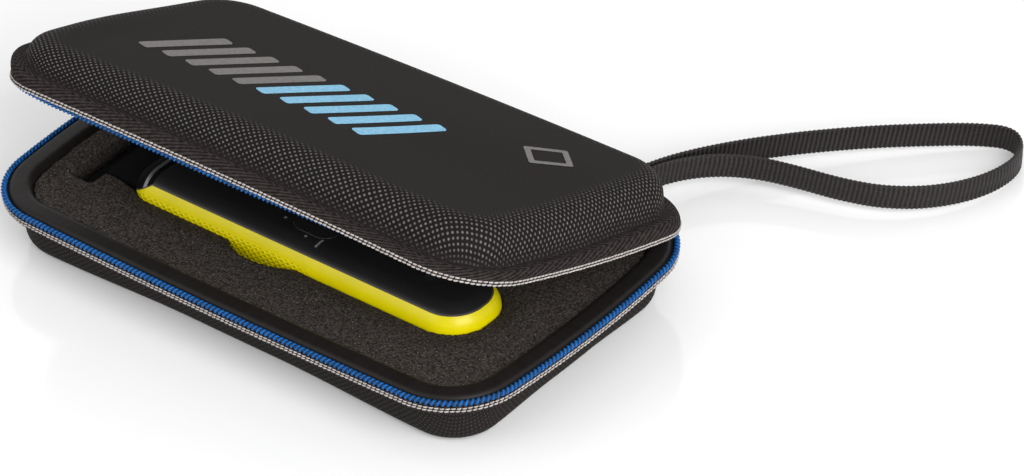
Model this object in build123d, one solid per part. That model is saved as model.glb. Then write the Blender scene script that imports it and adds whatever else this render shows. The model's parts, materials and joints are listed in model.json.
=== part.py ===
"""Hard zip case for an electric shaver: a moulded tray and lid on a fabric hinge, with the shaver in its foam.

Frame: origin on the floor under the middle of the tray, X along the case, Y towards the hinge, Z up.
The lid is built shut and then turned about the hinge to its resting angle. All sizes are in millimetres.
"""
import os
from math import radians, tan

from build123d import *

# ---------------------------------------------------------------- case outline, at the zipper coil
MARGIN_LEFT = 19.3         # from the coil line to the shaver's head
MARGIN_RIGHT = 28.4        # from the coil line to the handle's end
MARGIN_NEAR = 31.5         # from the coil line to the handle, on the opening side
MARGIN_FAR = 55.5          # from the coil line to the handle, on the hinge side
CORNER_RADIUS = 23.4
LONG_SIDE_BULGE = 1.7      # how far each long side bows out of straight
SHORT_SIDE_BULGE = 3.9     # how far each short side bows out of straight
MIN_CORNER = 6.0           # tightest corner that an inner outline may have

# ---------------------------------------------------------------- walls
FABRIC = 0.6               # outer woven cover
SHELL = 2.0                # moulded EVA board
LINING = 0.5               # inner brushed lining

# ---------------------------------------------------------------- tray
RIM_HEIGHT = 20.0          # coil centre above the floor
CREASE_DROP = 5.4          # from the coil centre down to where the flange turns into the body
CREASE_INSET = 5.2         # body wall behind the coil line at that crease
TRAY_FLOOR_INSET = 7.0     # body wall behind the coil line at the floor, before rounding
TRAY_EDGE_RADIUS = 6.0     # round between wall and floor
FLANGE_PROUD = 0.3         # flange face in front of the coil line
TAPE_EDGE_RADIUS = 3.6     # round on the flange's outer edge
TAPE = 0.6                 # woven zipper tape thickness

# ---------------------------------------------------------------- padded lips inside the coils
LIP_OUTER_INSET = 1.7
LIP_WIDTH = 6.9
LIP_HEIGHT = 1.5
LIP_ROUND = 1.0

# ---------------------------------------------------------------- zipper
COIL_RADIUS = 0.9
LID_COIL_RADIUS = 0.6
COIL_GAP = 0.1             # between the two coils when shut
SEAT = 0.05                # between a coil or a thread and the face that it is sewn to
STITCH_RADIUS = 0.3        # thread of the two seam rows
STITCH_PITCH = 0.9         # between the two seam rows
STITCH_DROP = 1.75         # upper seam row below the coil centre
LID_STITCH_RISE = 0.4      # lower seam row above the lid flange's bottom
TRACK_END = 61.0           # half the length of the hinge side that has no coil
STOP_LENGTH = 3.0
STOP_WIDTH = 2.2

# ---------------------------------------------------------------- lid
LID_FLANGE = 3.75          # lid flange height
DOME_HEIGHT = 9.4          # lid dome above its flange, at mid-length
DOME_RISE = 2.4            # how much higher the dome is at its right end than at mid-length
DOME_DRAFT = 0.6           # how much the dome wall leans in
DOME_EDGE_RADIUS = 8.0
LID_LIP_GAP = 0.4          # between the two lips when shut
LID_OPEN_ANGLE = 19.25     # resting angle of the lid

# ---------------------------------------------------------------- fabric hinge
HINGE_STANDOFF = 2.3       # fold line behind the coil line
HINGE_RISE = 1.5           # fold line above the coil centre
HINGE_CLOTH = 0.6
HINGE_GAP = 0.65           # between each half of the cloth and the fold line
HINGE_FOOT = 3.0           # height of the band sewn to each flange

# ---------------------------------------------------------------- foam insert
FOAM_DROP = 1.2            # foam's top below the coil centre
BACKING = 1.0              # closed-cell sheet under the foam
FOAM_CLEARANCE = 0.2
WELL_CLEARANCE = 0.3       # around the handle
HEAD_WELL_CLEARANCE = 1.0  # around the cutting head
NECK_WELL_CLEARANCE = 1.6  # beside the neck
NOTCH_FORWARD = 10.3       # finger notches beside the handle, in front of its middle
NOTCH_RADIUS = 16.4
NOTCH_REACH = 5.8          # how far a notch cuts past the handle's side
NOTCH_FLOOR = 8.0
ACCESSORY_WELL = (74.0, 20.0)
ACCESSORY_WELL_X = 6.0
ACCESSORY_WALL = 15.5      # foam between the handle and this well
ACCESSORY_WELL_RADIUS = 5.0

# ---------------------------------------------------------------- wrist strap
STRAP_WIDTH = 8.2
STRAP_THICKNESS = 1.2
STRAP_X = 51.0             # middle of the two legs where they leave the anchor tab
STRAP_FALL = 0.0465        # how steeply the strap comes down, outwards along the diagonal
ANCHOR_DROP = 4.4          # middle of the tab below the crease
ANCHOR_LENGTH = 5.0        # tab's end behind the coil line
BARTACK = (1.6, 7.0, 0.5)  # length, height and how far it stands proud
BARTACK_BACK = 2.2         # from the tab's end
STRAP_ROUTE = [            # along the strap, from the middle of the tab's end
    (0.7, 0.0), (1.4, 9.5), (3.7, 19.5), (8.4, 29.2), (15.6, 37.2), (25.2, 42.9), (36.5, 46.3), (49.2, 49.1),
    (61.7, 53.9), (72.6, 62.9), (80.2, 75.2), (83.2, 87.8), (81.4, 98.6), (73.6, 104.6), (63.4, 98.6),
    (52.8, 89.2), (40.0, 76.9), (27.0, 62.3), (15.4, 46.9), (6.2, 31.6), (1.1, 18.9), (-0.6, 9.0), (-0.7, 0.0),
]

# ---------------------------------------------------------------- zipper sliders and pulls
SLIDER_GAP = 1.0           # between a parked slider and its end stop
SLIDER_LENGTH = 8.6
SLIDER_THICKNESS = 2.6
SLIDER_RISE = 0.8          # slider's top above the coil centre
SLIDER_HEIGHT = 5.8
SLIDER_STANDOFF = 1.3      # slider's back in front of the coil line
SLIDER_ROUND = 0.8
PULL_PIN_RADIUS = 0.6
PULL_PIN_STANDOFF = 1.2    # pull pin in front of the slider's face
PULL_PIN_DROP = 1.4        # pull pin under the coil centre
PULL_EAR = 0.9             # thickness of the two ears that hold the pin
PULL_EAR_RADIUS = 1.1
PULL_CLEARANCE = 0.06
PULL_SIDE_GAP = 0.2
PULL_KNUCKLE_LENGTH = 2.2
PULL_KNUCKLE_RADIUS = 1.1
PULL_STEM = 1.7            # bare stem between knuckle and plate
PULL_WIDTH = 4.4
PULL_THICKNESS = 0.9
PULL_LENGTH = 10.0

# ---------------------------------------------------------------- printed stripes on the lid
PRINT_THICKNESS = 0.15
STRIPE_LENGTH = 30.0
STRIPE_WIDTH = 5.0
STRIPE_PITCH = 9.0
STRIPE_SLANT = 20.0        # degrees from the case's width
STRIPES_BLUE = 5
STRIPES_GREY = 5
STRIPES_START_X = -57.0
STRIPES_Y = -6.0
BADGE_AT = (60.0, 18.0)
BADGE_SIDE = 13.0
BADGE_LINE = 1.8

# ---------------------------------------------------------------- shaver in the tray
HANDLE_LENGTH = 127.6
HANDLE_HALF = 13.5
HANDLE_HEIGHT = 19.3
HANDLE_END_ROUND = 12.6
HANDLE_TIP_ROUND = 8.4
HANDLE_BELLY_ROUND = 6.5
HANDLE_SHOULDER = 7.5
HANDLE_WALL = 1.6
HANDLE_REST = 0.3          # between the handle and the sheet under it
PANEL_THICKNESS = 1.9
SEAM = 0.4                 # trim line between the grip shell and the dark panel
SEAM_TIP_LENGTH = 9.5      # over this length at the neck the seam falls
SEAM_TIP_DROP = 6.0
BUTTON_BACK = 0.2          # behind the handle's middle
BUTTON_SIZE = (16.0, 10.0)
BUTTON_TRAVEL = 0.8
BUTTON_CLEARANCE = 0.25
BUTTON_PROUD = 0.15
BUTTON_FLANGE = 0.5        # retaining flange under the panel: its reach and its thickness
BUTTON_FLANGE_GAP = 0.1
LIGHT_FROM_END = 21.3      # from the handle's end
LIGHT_RADIUS = 1.9
LIGHT_DEPTH = 1.0
BATTERY_RADIUS = 5.9
BATTERY_LENGTH = 49.0
BATTERY_GAP = 4.5          # behind the motor
MOTOR_LENGTH = 24.0
MOTOR_FROM_TIP = 15.0      # from the handle's tip
CELL_GAP = 0.1             # around the battery and the motor
SHAFT_RADIUS = 1.0
SHAFT_CLEARANCE = 0.05
SHAFT_SEAT = 6.0           # how deep the shaft runs into the motor
ECCENTRIC_RADIUS = 2.3
ECCENTRIC_LENGTH = 1.6
CRANK_PIN_RADIUS = 0.5
CRANK_PIN_LENGTH = 1.6
CRANK_THROW = 0.8
CARRIER_WALL = 0.8         # channel that holds the motor, the battery and the board
BOARD = (78.0, 13.0, 0.8)
BOARD_FROM_END = 14.6      # from the handle's end
SWITCH_SIZE = 4.0
SWITCH_GAP = 0.1
SOCKET_RADIUS = 3.6
SOCKET_LENGTH = 7.0
SOCKET_BORE = 2.4
SOCKET_DEPTH = 5.0
NECK_LENGTH = 10.4         # stub in front of the handle's tip
NECK_HALF = 9.6
NECK_HEIGHTS = (2.8, 13.4) # above the handle's underside
NECK_ROUND = 2.4
NECK_BORE_RADIUS = 3.2
NECK_BAND_WIDTH = 1.2
NECK_BAND_BACK = 1.7       # from the front panel's edge
NECK_BAND_PROUD = 0.2
HEAD_DEPTH = 4.6
HEAD_HALF = 17.0
HEAD_HEIGHTS = (2.4, 11.3) # above the handle's underside
HEAD_ROUND = 1.6
HEAD_CAP = 1.6
CUTTER_THICKNESS = 1.2
CUTTER_HALF = 14.0
CUTTER_CLEARANCE = 0.25
GUARD_THICKNESS = 0.6
GUARD_DEPTH = 2.6
GUARD_REACH = 0.4          # guard's teeth beyond the cutter's
TOOTH_PITCH = 2.0
TOOTH_GAP = 1.0
TOOTH_DEPTH = 1.3
FORK_WALL = 0.9
FORK_DEPTH = 1.4
FORK_GAP = 0.3

# ---------------------------------------------------------------- sizes that follow from these
CUTTER_STROKE = CRANK_THROW
HEAD_LENGTH = NECK_LENGTH + HEAD_DEPTH + TOOTH_DEPTH + GUARD_REACH
CASE_LENGTH = MARGIN_LEFT + HEAD_LENGTH + HANDLE_LENGTH + MARGIN_RIGHT
CASE_WIDTH = MARGIN_NEAR + 2 * HANDLE_HALF + MARGIN_FAR
SHAVER_Y = MARGIN_NEAR + HANDLE_HALF - CASE_WIDTH / 2
HANDLE_END = CASE_LENGTH / 2 - MARGIN_RIGHT
HANDLE_TIP = HANDLE_END - HANDLE_LENGTH
HANDLE_MIDDLE = (HANDLE_TIP + HANDLE_END) / 2
NECK_END = HANDLE_TIP - NECK_LENGTH
HEAD_FRONT = NECK_END - HEAD_DEPTH
PANEL_END = HANDLE_TIP + SEAM_TIP_LENGTH
NOTCH_X = HANDLE_MIDDLE - NOTCH_FORWARD
BUTTON_X = HANDLE_MIDDLE + BUTTON_BACK
LIGHT_X = HANDLE_END - LIGHT_FROM_END
MOTOR_X = HANDLE_TIP + MOTOR_FROM_TIP + MOTOR_LENGTH / 2
BATTERY_X = MOTOR_X + MOTOR_LENGTH / 2 + BATTERY_GAP + BATTERY_LENGTH / 2
BOARD_X = HANDLE_END - BOARD_FROM_END - BOARD[0] / 2
TRAY_CREASE = RIM_HEIGHT - CREASE_DROP
FOAM_TOP = RIM_HEIGHT - FOAM_DROP
ANCHOR_HEIGHT = TRAY_CREASE - ANCHOR_DROP
FLANGE_TOP = RIM_HEIGHT - COIL_RADIUS - SEAT
LID_COIL_HEIGHT = RIM_HEIGHT + COIL_RADIUS + COIL_GAP + LID_COIL_RADIUS
LID_FLANGE_BOTTOM = LID_COIL_HEIGHT + LID_COIL_RADIUS + SEAT
LID_CREASE = LID_FLANGE_BOTTOM + LID_FLANGE
LID_TOP = LID_CREASE + DOME_HEIGHT
HINGE_Y = CASE_WIDTH / 2 + HINGE_STANDOFF
HINGE_HEIGHT = RIM_HEIGHT + HINGE_RISE
LIP_TOP = FLANGE_TOP + LIP_HEIGHT
LIP_INNER_INSET = LIP_OUTER_INSET + LIP_WIDTH
TRAY_INSIDE = FABRIC + SHELL + LINING
FOAM_BOTTOM = TRAY_INSIDE + FOAM_CLEARANCE + BACKING
SLIDER_X = TRACK_END + SLIDER_GAP + SLIDER_LENGTH / 2
SLIDER_TOP = RIM_HEIGHT + SLIDER_RISE
PULL_PIN_HEIGHT = RIM_HEIGHT - PULL_PIN_DROP
ANCHOR_END_Y = CASE_WIDTH / 2 + ANCHOR_LENGTH
HANDLE_BOTTOM = FOAM_BOTTOM + HANDLE_REST
PANEL_TOP = HANDLE_BOTTOM + HANDLE_HEIGHT
SEAM_HEIGHT = PANEL_TOP - PANEL_THICKNESS - SEAM
HANDLE_INSIDE = HANDLE_BOTTOM + HANDLE_WALL
DRIVE_HEIGHT = HANDLE_INSIDE + CELL_GAP + BATTERY_RADIUS
BOARD_HEIGHT = DRIVE_HEIGHT + BATTERY_RADIUS + CELL_GAP + CARRIER_WALL
TALL = RIM_HEIGHT + LID_TOP    # longer than anything that it cuts
ROOF_SLOPE = DOME_RISE / (CASE_LENGTH / 2)

parts = {}


# ================================================================ helpers
def outline(inset, height=0.0):
    """The case's outline moved in by inset: four bowed sides with rounded corners."""
    half_l = CASE_LENGTH / 2 - inset
    half_w = CASE_WIDTH / 2 - inset
    x, y = half_l - SHORT_SIDE_BULGE, half_w - LONG_SIDE_BULGE
    sides = [
        ThreePointArc((-x, -y), (0, -half_w), (x, -y)),
        ThreePointArc((x, -y), (half_l, 0), (x, y)),
        ThreePointArc((x, y), (0, half_w), (-x, y)),
        ThreePointArc((-x, y), (-half_l, 0), (-x, -y)),
    ]
    face = make_face(sides)
    face = fillet(face.vertices(), max(CORNER_RADIUS - inset, MIN_CORNER))
    return Pos(0, 0, height) * face


def side_y(x):
    """Where the bowed hinge side of the coil line lies at this x."""
    return CASE_WIDTH / 2 - LONG_SIDE_BULGE * (x / (CASE_LENGTH / 2 - SHORT_SIDE_BULGE)) ** 2


def slab(inset, low, high):
    """The outline at one inset, as a plate from low to high."""
    return extrude(outline(inset, low), high - low)


def edges_at(solid, height):
    """Edges that lie in the level plane at this height."""
    return solid.edges().filter_by_position(Axis.Z, height - 0.01, height + 0.01)


def box_between(x0, x1, y0, y1, z0, z1):
    return Pos((x0 + x1) / 2, (y0 + y1) / 2, (z0 + z1) / 2) * Box(x1 - x0, y1 - y0, z1 - z0)


def rod_x(radius, x0, x1, y, z):
    """A round bar along X."""
    return Pos((x0 + x1) / 2, y, z) * Rot(Y=90) * Cylinder(radius, x1 - x0)


def rounded_plate(length, width, radius, x, y, low, high):
    """An upright prism with a rounded rectangle as its plan."""
    face = RectangleRounded(length, width, radius)
    return Pos(x, y, low) * extrude(face, high - low)


def round_ring(radius, inset, height):
    """A round cord laid along the outline."""
    path = outline(inset, height).wires()[0]
    return sweep(Plane(origin=path @ 0, z_dir=path % 0) * Circle(radius), path=path)


def hinge_side_cut(half_length):
    """Everything on the hinge side between two ends, to open a ring there."""
    return box_between(-half_length, half_length, CASE_WIDTH / 4, CASE_WIDTH, 0, TALL)


def lid_pose(shape):
    """Turns a piece of the shut lid about the hinge to the resting angle."""
    turn = Pos(0, HINGE_Y, HINGE_HEIGHT) * Rot(X=-LID_OPEN_ANGLE) * Pos(0, -HINGE_Y, -HINGE_HEIGHT)
    return turn * shape


def prism_xz(points, y0, y1):
    """A prism along Y from an outline in X and Z."""
    face = make_face(Polyline(*[(x, z) for x, z in points], close=True))
    return Pos(0, y0, 0) * extrude(Plane.XZ * face, -(y1 - y0))


# ================================================================ tray
def tray_body(offset):
    """The tray's body up to its crease, moved in by offset: leaning walls and a rounded foot."""
    low = loft([outline(TRAY_FLOOR_INSET + offset, offset),
                outline(CREASE_INSET + offset, TRAY_CREASE)], ruled=True)
    return fillet(edges_at(low, offset), max(TRAY_EDGE_RADIUS - offset, 1.0))


def tray_flange(offset):
    """The tray's rolled flange, moved in by offset, from the crease to its top."""
    ring = slab(offset - FLANGE_PROUD, TRAY_CREASE + offset, FLANGE_TOP)
    return fillet(edges_at(ring, TRAY_CREASE + offset), TAPE_EDGE_RADIUS - offset)


def tray_cavity(offset):
    """The hollow inside a tray wall of this offset, open at the top."""
    return tray_body(offset) + slab(CREASE_INSET + offset, TRAY_CREASE, TALL)


def make_tray():
    inside_fabric = tray_body(FABRIC) + slab(CREASE_INSET + FABRIC, TRAY_CREASE, FLANGE_TOP)
    parts["base_outer_fabric"] = tray_body(0) - inside_fabric
    board_inside = tray_cavity(FABRIC + SHELL)
    parts["base_shell"] = (inside_fabric + tray_flange(TAPE)) - board_inside
    hollow = tray_cavity(TRAY_INSIDE)
    parts["base_lining"] = (board_inside - hollow) & slab(0, 0, FLANGE_TOP)
    parts["base_zipper_tape"] = tray_flange(0) - tray_flange(TAPE) - slab(CREASE_INSET, 0, TALL)
    lip = slab(LIP_OUTER_INSET, FLANGE_TOP, LIP_TOP) - slab(LIP_INNER_INSET, 0, TALL)
    parts["base_rim_lip"] = fillet(edges_at(lip, LIP_TOP), LIP_ROUND)


def seam_rows(low_row):
    """Two parallel rows of seam thread on a flange's face."""
    inset = -(FLANGE_PROUD + STITCH_RADIUS + SEAT)
    return [round_ring(STITCH_RADIUS, inset, low_row + row * STITCH_PITCH) for row in range(2)]


def zipper_track(radius, height):
    return round_ring(radius, 0, height) - hinge_side_cut(TRACK_END)


def track_stops(low, high):
    """A pair of end stops, one at each end of the zipper track."""
    x0, x1 = TRACK_END - STOP_LENGTH, TRACK_END
    y = side_y(TRACK_END)
    half = STOP_WIDTH / 2
    right = box_between(x0, x1, y - half, y + half, low, high)
    return [right, mirror(right, about=Plane.YZ)]


# ================================================================ lid, built shut
def dome_solid(offset):
    """The lid's dome moved in by offset: leaning wall, rounded shoulder, a top that climbs to the right."""
    block = loft([outline(CREASE_INSET + offset, LID_FLANGE_BOTTOM),
                  outline(CREASE_INSET + DOME_DRAFT + offset, LID_TOP + 2 * DOME_RISE)], ruled=True)
    roof = Plane(origin=(0, 0, LID_TOP - offset), z_dir=(-ROOF_SLOPE, 0, 1))
    block = split(block, bisect_by=roof, keep=Keep.BOTTOM)
    return fillet(block.faces().sort_by(Axis.Z)[-1].edges(), max(DOME_EDGE_RADIUS - offset, 2.0))


def lid_flange(offset):
    """The lid's rolled flange, moved in by offset, from its bottom to the crease."""
    ring = slab(offset - FLANGE_PROUD, LID_FLANGE_BOTTOM, LID_CREASE - offset)
    return fillet(edges_at(ring, LID_CREASE - offset), min(TAPE_EDGE_RADIUS, LID_FLANGE - TAPE) - offset)


def make_lid():
    cover = dome_solid(FABRIC)
    inner = dome_solid(FABRIC + SHELL)
    hollow = dome_solid(TRAY_INSIDE)
    below_crease = box_between(-CASE_LENGTH, CASE_LENGTH, -CASE_WIDTH, CASE_WIDTH, 0, LID_CREASE)
    lip_low = LIP_TOP + LID_LIP_GAP
    lip = slab(LIP_OUTER_INSET, lip_low, LID_FLANGE_BOTTOM) - slab(LIP_INNER_INSET, 0, TALL)
    lip_round = min(LIP_ROUND, (LID_FLANGE_BOTTOM - lip_low) * 0.6)
    return {
        "lid_outer_fabric": dome_solid(0) - cover - below_crease,
        "lid_shell": (cover + lid_flange(TAPE)) - inner,
        "lid_lining": inner - hollow,
        "lid_zipper_tape": lid_flange(0) - lid_flange(TAPE) - slab(CREASE_INSET, 0, TALL),
        "lid_rim_lip": fillet(edges_at(lip, lip_low), lip_round),
        "lid_zipper_coil": zipper_track(LID_COIL_RADIUS, LID_COIL_HEIGHT),
        "lid_stitch_rows": seam_rows(LID_FLANGE_BOTTOM + LID_STITCH_RISE),
        "lid_track_stops": track_stops(LID_COIL_HEIGHT - LID_COIL_RADIUS, LID_FLANGE_BOTTOM),
    }


def stripe(index):
    """One slanted stripe of the print, on the lid's sloping top."""
    face = Rot(Z=-STRIPE_SLANT) * RectangleRounded(STRIPE_WIDTH, STRIPE_LENGTH, STRIPE_WIDTH * 0.3)
    return Pos(STRIPES_START_X + index * STRIPE_PITCH, STRIPES_Y, 0) * face


def printed(face):
    """A thin layer of print on the lid's sloping top."""
    roof = Plane(origin=(0, 0, LID_TOP), x_dir=(1, 0, ROOF_SLOPE), z_dir=(-ROOF_SLOPE, 0, 1))
    return roof * extrude(face, PRINT_THICKNESS)


def make_print():
    grey = [printed(stripe(i)) for i in range(STRIPES_GREY)]
    blue = [printed(stripe(STRIPES_GREY + i)) for i in range(STRIPES_BLUE)]
    outer = RectangleRounded(BADGE_SIDE, BADGE_SIDE, BADGE_SIDE / 4)
    inner = RectangleRounded(BADGE_SIDE - 2 * BADGE_LINE, BADGE_SIDE - 2 * BADGE_LINE, BADGE_SIDE / 6)
    grey.append(printed(Pos(*BADGE_AT) * Rot(Z=45) * (outer - inner)))
    return {"lid_print_blue": blue, "lid_print_grey": grey}


# ================================================================ fabric hinge
def make_hinge():
    """Two cloth bands, one sewn to each flange, that meet at the fold line. The lid's is built shut."""
    back = CASE_WIDTH / 2 + FLANGE_PROUD + 2 * (STITCH_RADIUS + SEAT)
    half = HINGE_CLOTH / 2

    def band(foot_far, foot_near, tip):
        points = [(back, foot_far), (back + HINGE_CLOTH, foot_far), (back + HINGE_CLOTH, foot_near),
                  (HINGE_Y + half, tip), (HINGE_Y - half, tip), (back, foot_near)]
        face = make_face(Polyline(*points, close=True))
        half_length = TRACK_END - STOP_LENGTH
        return Pos(-half_length, 0, 0) * extrude(Plane.YZ * face, 2 * half_length)

    low = band(FLANGE_TOP - HINGE_FOOT, FLANGE_TOP, HINGE_HEIGHT - HINGE_GAP)
    high = band(LID_FLANGE_BOTTOM + HINGE_FOOT, LID_FLANGE_BOTTOM + HINGE_GAP, HINGE_HEIGHT + HINGE_GAP)
    return low, high


# ================================================================ foam insert
def shaver_box(x0, x1, half, low, high):
    """A block between two places along the shaver, about its centre line."""
    return box_between(x0, x1, SHAVER_Y - half, SHAVER_Y + half, low, high)


def make_foam():
    """A die-cut foam block on a closed-cell sheet, both a little smaller than the lined tray."""
    fitted = tray_cavity(TRAY_INSIDE + FOAM_CLEARANCE)
    parts["foam_backing_sheet"] = fitted & slab(0, 0, FOAM_BOTTOM)
    foam = fitted & slab(0, FOAM_BOTTOM, FOAM_TOP)
    foam -= handle_prism(-WELL_CLEARANCE, 0, TALL)
    well_front = HANDLE_TIP - HEAD_LENGTH - HEAD_WELL_CLEARANCE
    well_back = NECK_END + HEAD_WELL_CLEARANCE
    foam -= shaver_box(well_front, well_back, HEAD_HALF + HEAD_WELL_CLEARANCE, 0, TALL)
    foam -= shaver_box(well_back, HANDLE_TIP + HANDLE_TIP_ROUND, NECK_HALF + NECK_WELL_CLEARANCE, 0, TALL)
    notch_centre = HANDLE_HALF + NOTCH_REACH - NOTCH_RADIUS
    for side in (-1, 1):
        notch = Cylinder(NOTCH_RADIUS, TALL - NOTCH_FLOOR)
        foam -= Pos(NOTCH_X, SHAVER_Y + side * notch_centre, (NOTCH_FLOOR + TALL) / 2) * notch
    well_y = SHAVER_Y + HANDLE_HALF + ACCESSORY_WALL + ACCESSORY_WELL[1] / 2
    foam -= rounded_plate(*ACCESSORY_WELL, ACCESSORY_WELL_RADIUS, ACCESSORY_WELL_X, well_y, 0, TALL)
    parts["foam_insert"] = foam


# ================================================================ wrist strap
def arc_radii(points):
    """One radius for each corner of a route, as large as its two runs allow."""
    radii = []
    for before, at, after in zip(points, points[1:], points[2:]):
        run_in = Vector(*at) - Vector(*before)
        run_out = Vector(*after) - Vector(*at)
        turn = run_in.get_angle(run_out)
        radii.append(0.45 * min(run_in.length, run_out.length) / tan(radians(turn / 2)))
    return radii


def strap_point(along_x, along_y):
    """A point of the strap's route. The route lies in one plane that comes down along the diagonal."""
    fall = STRAP_FALL * (along_x + along_y) / 2 ** 0.5
    return (STRAP_X + along_x, ANCHOR_END_Y + along_y, ANCHOR_HEIGHT - fall)


def make_strap():
    """A webbing loop on its edge, with both ends sewn to a tab on the tray's wall."""
    points = [strap_point(*step) for step in STRAP_ROUTE]
    radii = arc_radii(points)
    path = FilletPolyline(*points, radius=radii)
    start = Plane(origin=path @ 0, x_dir=(1, 0, 0), z_dir=path % 0)
    strap = sweep(start * Rectangle(STRAP_THICKNESS, STRAP_WIDTH), path=path)
    print("strap radii", [round(r, 1) for r in radii])
    print("strap length", round(path.length, 1), "volume", round(strap.volume),
          "section times length", round(STRAP_THICKNESS * STRAP_WIDTH * path.length))

    legs = STRAP_ROUTE[0][0] - STRAP_ROUTE[-1][0] + STRAP_THICKNESS
    x0, x1 = STRAP_X - legs / 2, STRAP_X + legs / 2
    z0, z1 = ANCHOR_HEIGHT - STRAP_WIDTH / 2, ANCHOR_HEIGHT + STRAP_WIDTH / 2
    tab = box_between(x0, x1, CASE_WIDTH / 4, ANCHOR_END_Y, z0, z1)
    parts["strap_anchor_tab"] = tab - tray_body(0)
    parts["wrist_strap"] = strap - tab
    length, height, proud = BARTACK
    tack_y = ANCHOR_END_Y - BARTACK_BACK
    tack = box_between(x0 - proud, x1 + proud, tack_y - length / 2, tack_y + length / 2,
                       ANCHOR_HEIGHT - height / 2, ANCHOR_HEIGHT + height / 2)
    parts["strap_bartack"] = tack - tab


# ================================================================ zipper sliders and pulls
def slider(side):
    """A parked slider at one end of the track, with two ears that hold the pull's pin."""
    x = side * SLIDER_X
    back = side_y(SLIDER_X) + SLIDER_STANDOFF
    front = back + SLIDER_THICKNESS
    half = SLIDER_LENGTH / 2
    body = box_between(x - half, x + half, back, front, SLIDER_TOP - SLIDER_HEIGHT, SLIDER_TOP)
    body = fillet(body.edges().filter_by(Axis.Y), SLIDER_ROUND)
    pin_y = front + PULL_PIN_STANDOFF
    inner = PULL_KNUCKLE_LENGTH / 2 + PULL_SIDE_GAP
    for hand in (-1, 1):
        x0, x1 = sorted((x + hand * inner, x + hand * (inner + PULL_EAR)))
        ear = rod_x(PULL_EAR_RADIUS, x0, x1, pin_y, PULL_PIN_HEIGHT)
        ear += box_between(x0, x1, front, pin_y,
                           PULL_PIN_HEIGHT - PULL_EAR_RADIUS, PULL_PIN_HEIGHT + PULL_EAR_RADIUS)
        body += ear
    return body + rod_x(PULL_PIN_RADIUS, x - inner, x + inner, pin_y, PULL_PIN_HEIGHT)


def pull(side):
    """A flat pull tab that hangs on the slider's pin."""
    x = side * SLIDER_X
    pin_y = side_y(SLIDER_X) + SLIDER_STANDOFF + SLIDER_THICKNESS + PULL_PIN_STANDOFF
    half = PULL_KNUCKLE_LENGTH / 2
    knuckle = rod_x(PULL_KNUCKLE_RADIUS, x - half, x + half, pin_y, PULL_PIN_HEIGHT)
    stem_end = PULL_PIN_HEIGHT - PULL_KNUCKLE_RADIUS - PULL_STEM
    thick = PULL_THICKNESS / 2
    stem = box_between(x - half, x + half, pin_y - thick, pin_y + thick, stem_end, PULL_PIN_HEIGHT)
    plate = box_between(x - PULL_WIDTH / 2, x + PULL_WIDTH / 2, pin_y - thick, pin_y + thick,
                        PULL_PIN_HEIGHT - PULL_LENGTH, stem_end)
    plate = fillet(plate.edges().filter_by(Axis.Y), PULL_WIDTH / 4)
    tab = knuckle + stem + plate
    return tab - rod_x(PULL_PIN_RADIUS + PULL_CLEARANCE, x - half, x + half, pin_y, PULL_PIN_HEIGHT)


# ================================================================ shaver
def handle_plan(offset):
    """The handle's plan moved in by offset, about its own middle."""
    length = HANDLE_LENGTH - 2 * offset
    face = Rectangle(length, 2 * (HANDLE_HALF - offset))
    face = fillet(face.vertices().sort_by(Axis.X)[:2], HANDLE_TIP_ROUND - offset)
    return fillet(face.vertices().sort_by(Axis.X)[-2:], HANDLE_END_ROUND - offset)


def handle_prism(offset, low, high):
    return Pos(HANDLE_MIDDLE, SHAVER_Y, low) * extrude(handle_plan(offset), high - low)


def handle_form(offset, high):
    """The whole rounded handle, grip shell and panel together, moved in by offset."""
    form = handle_prism(offset, HANDLE_BOTTOM + offset, high)
    form = fillet(edges_at(form, HANDLE_BOTTOM + offset), HANDLE_BELLY_ROUND - offset)
    return fillet(edges_at(form, high), HANDLE_SHOULDER - offset)


def above_seam(rise):
    """Everything above the seam line, which falls towards the neck, lifted by rise."""
    high = SEAM_HEIGHT + rise
    low = high - SEAM_TIP_DROP
    slope = SEAM_TIP_DROP / SEAM_TIP_LENGTH
    reach = HANDLE_TIP - NECK_LENGTH
    points = [(CASE_LENGTH, high), (PANEL_END, high), (reach, low - slope * NECK_LENGTH),
              (reach, TALL), (CASE_LENGTH, TALL)]
    return prism_xz(points, -CASE_WIDTH, CASE_WIDTH)


def shaver_rod(radius, x0, x1):
    """A round bar along the shaver's drive axis."""
    return rod_x(radius, x0, x1, SHAVER_Y, DRIVE_HEIGHT)


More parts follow.
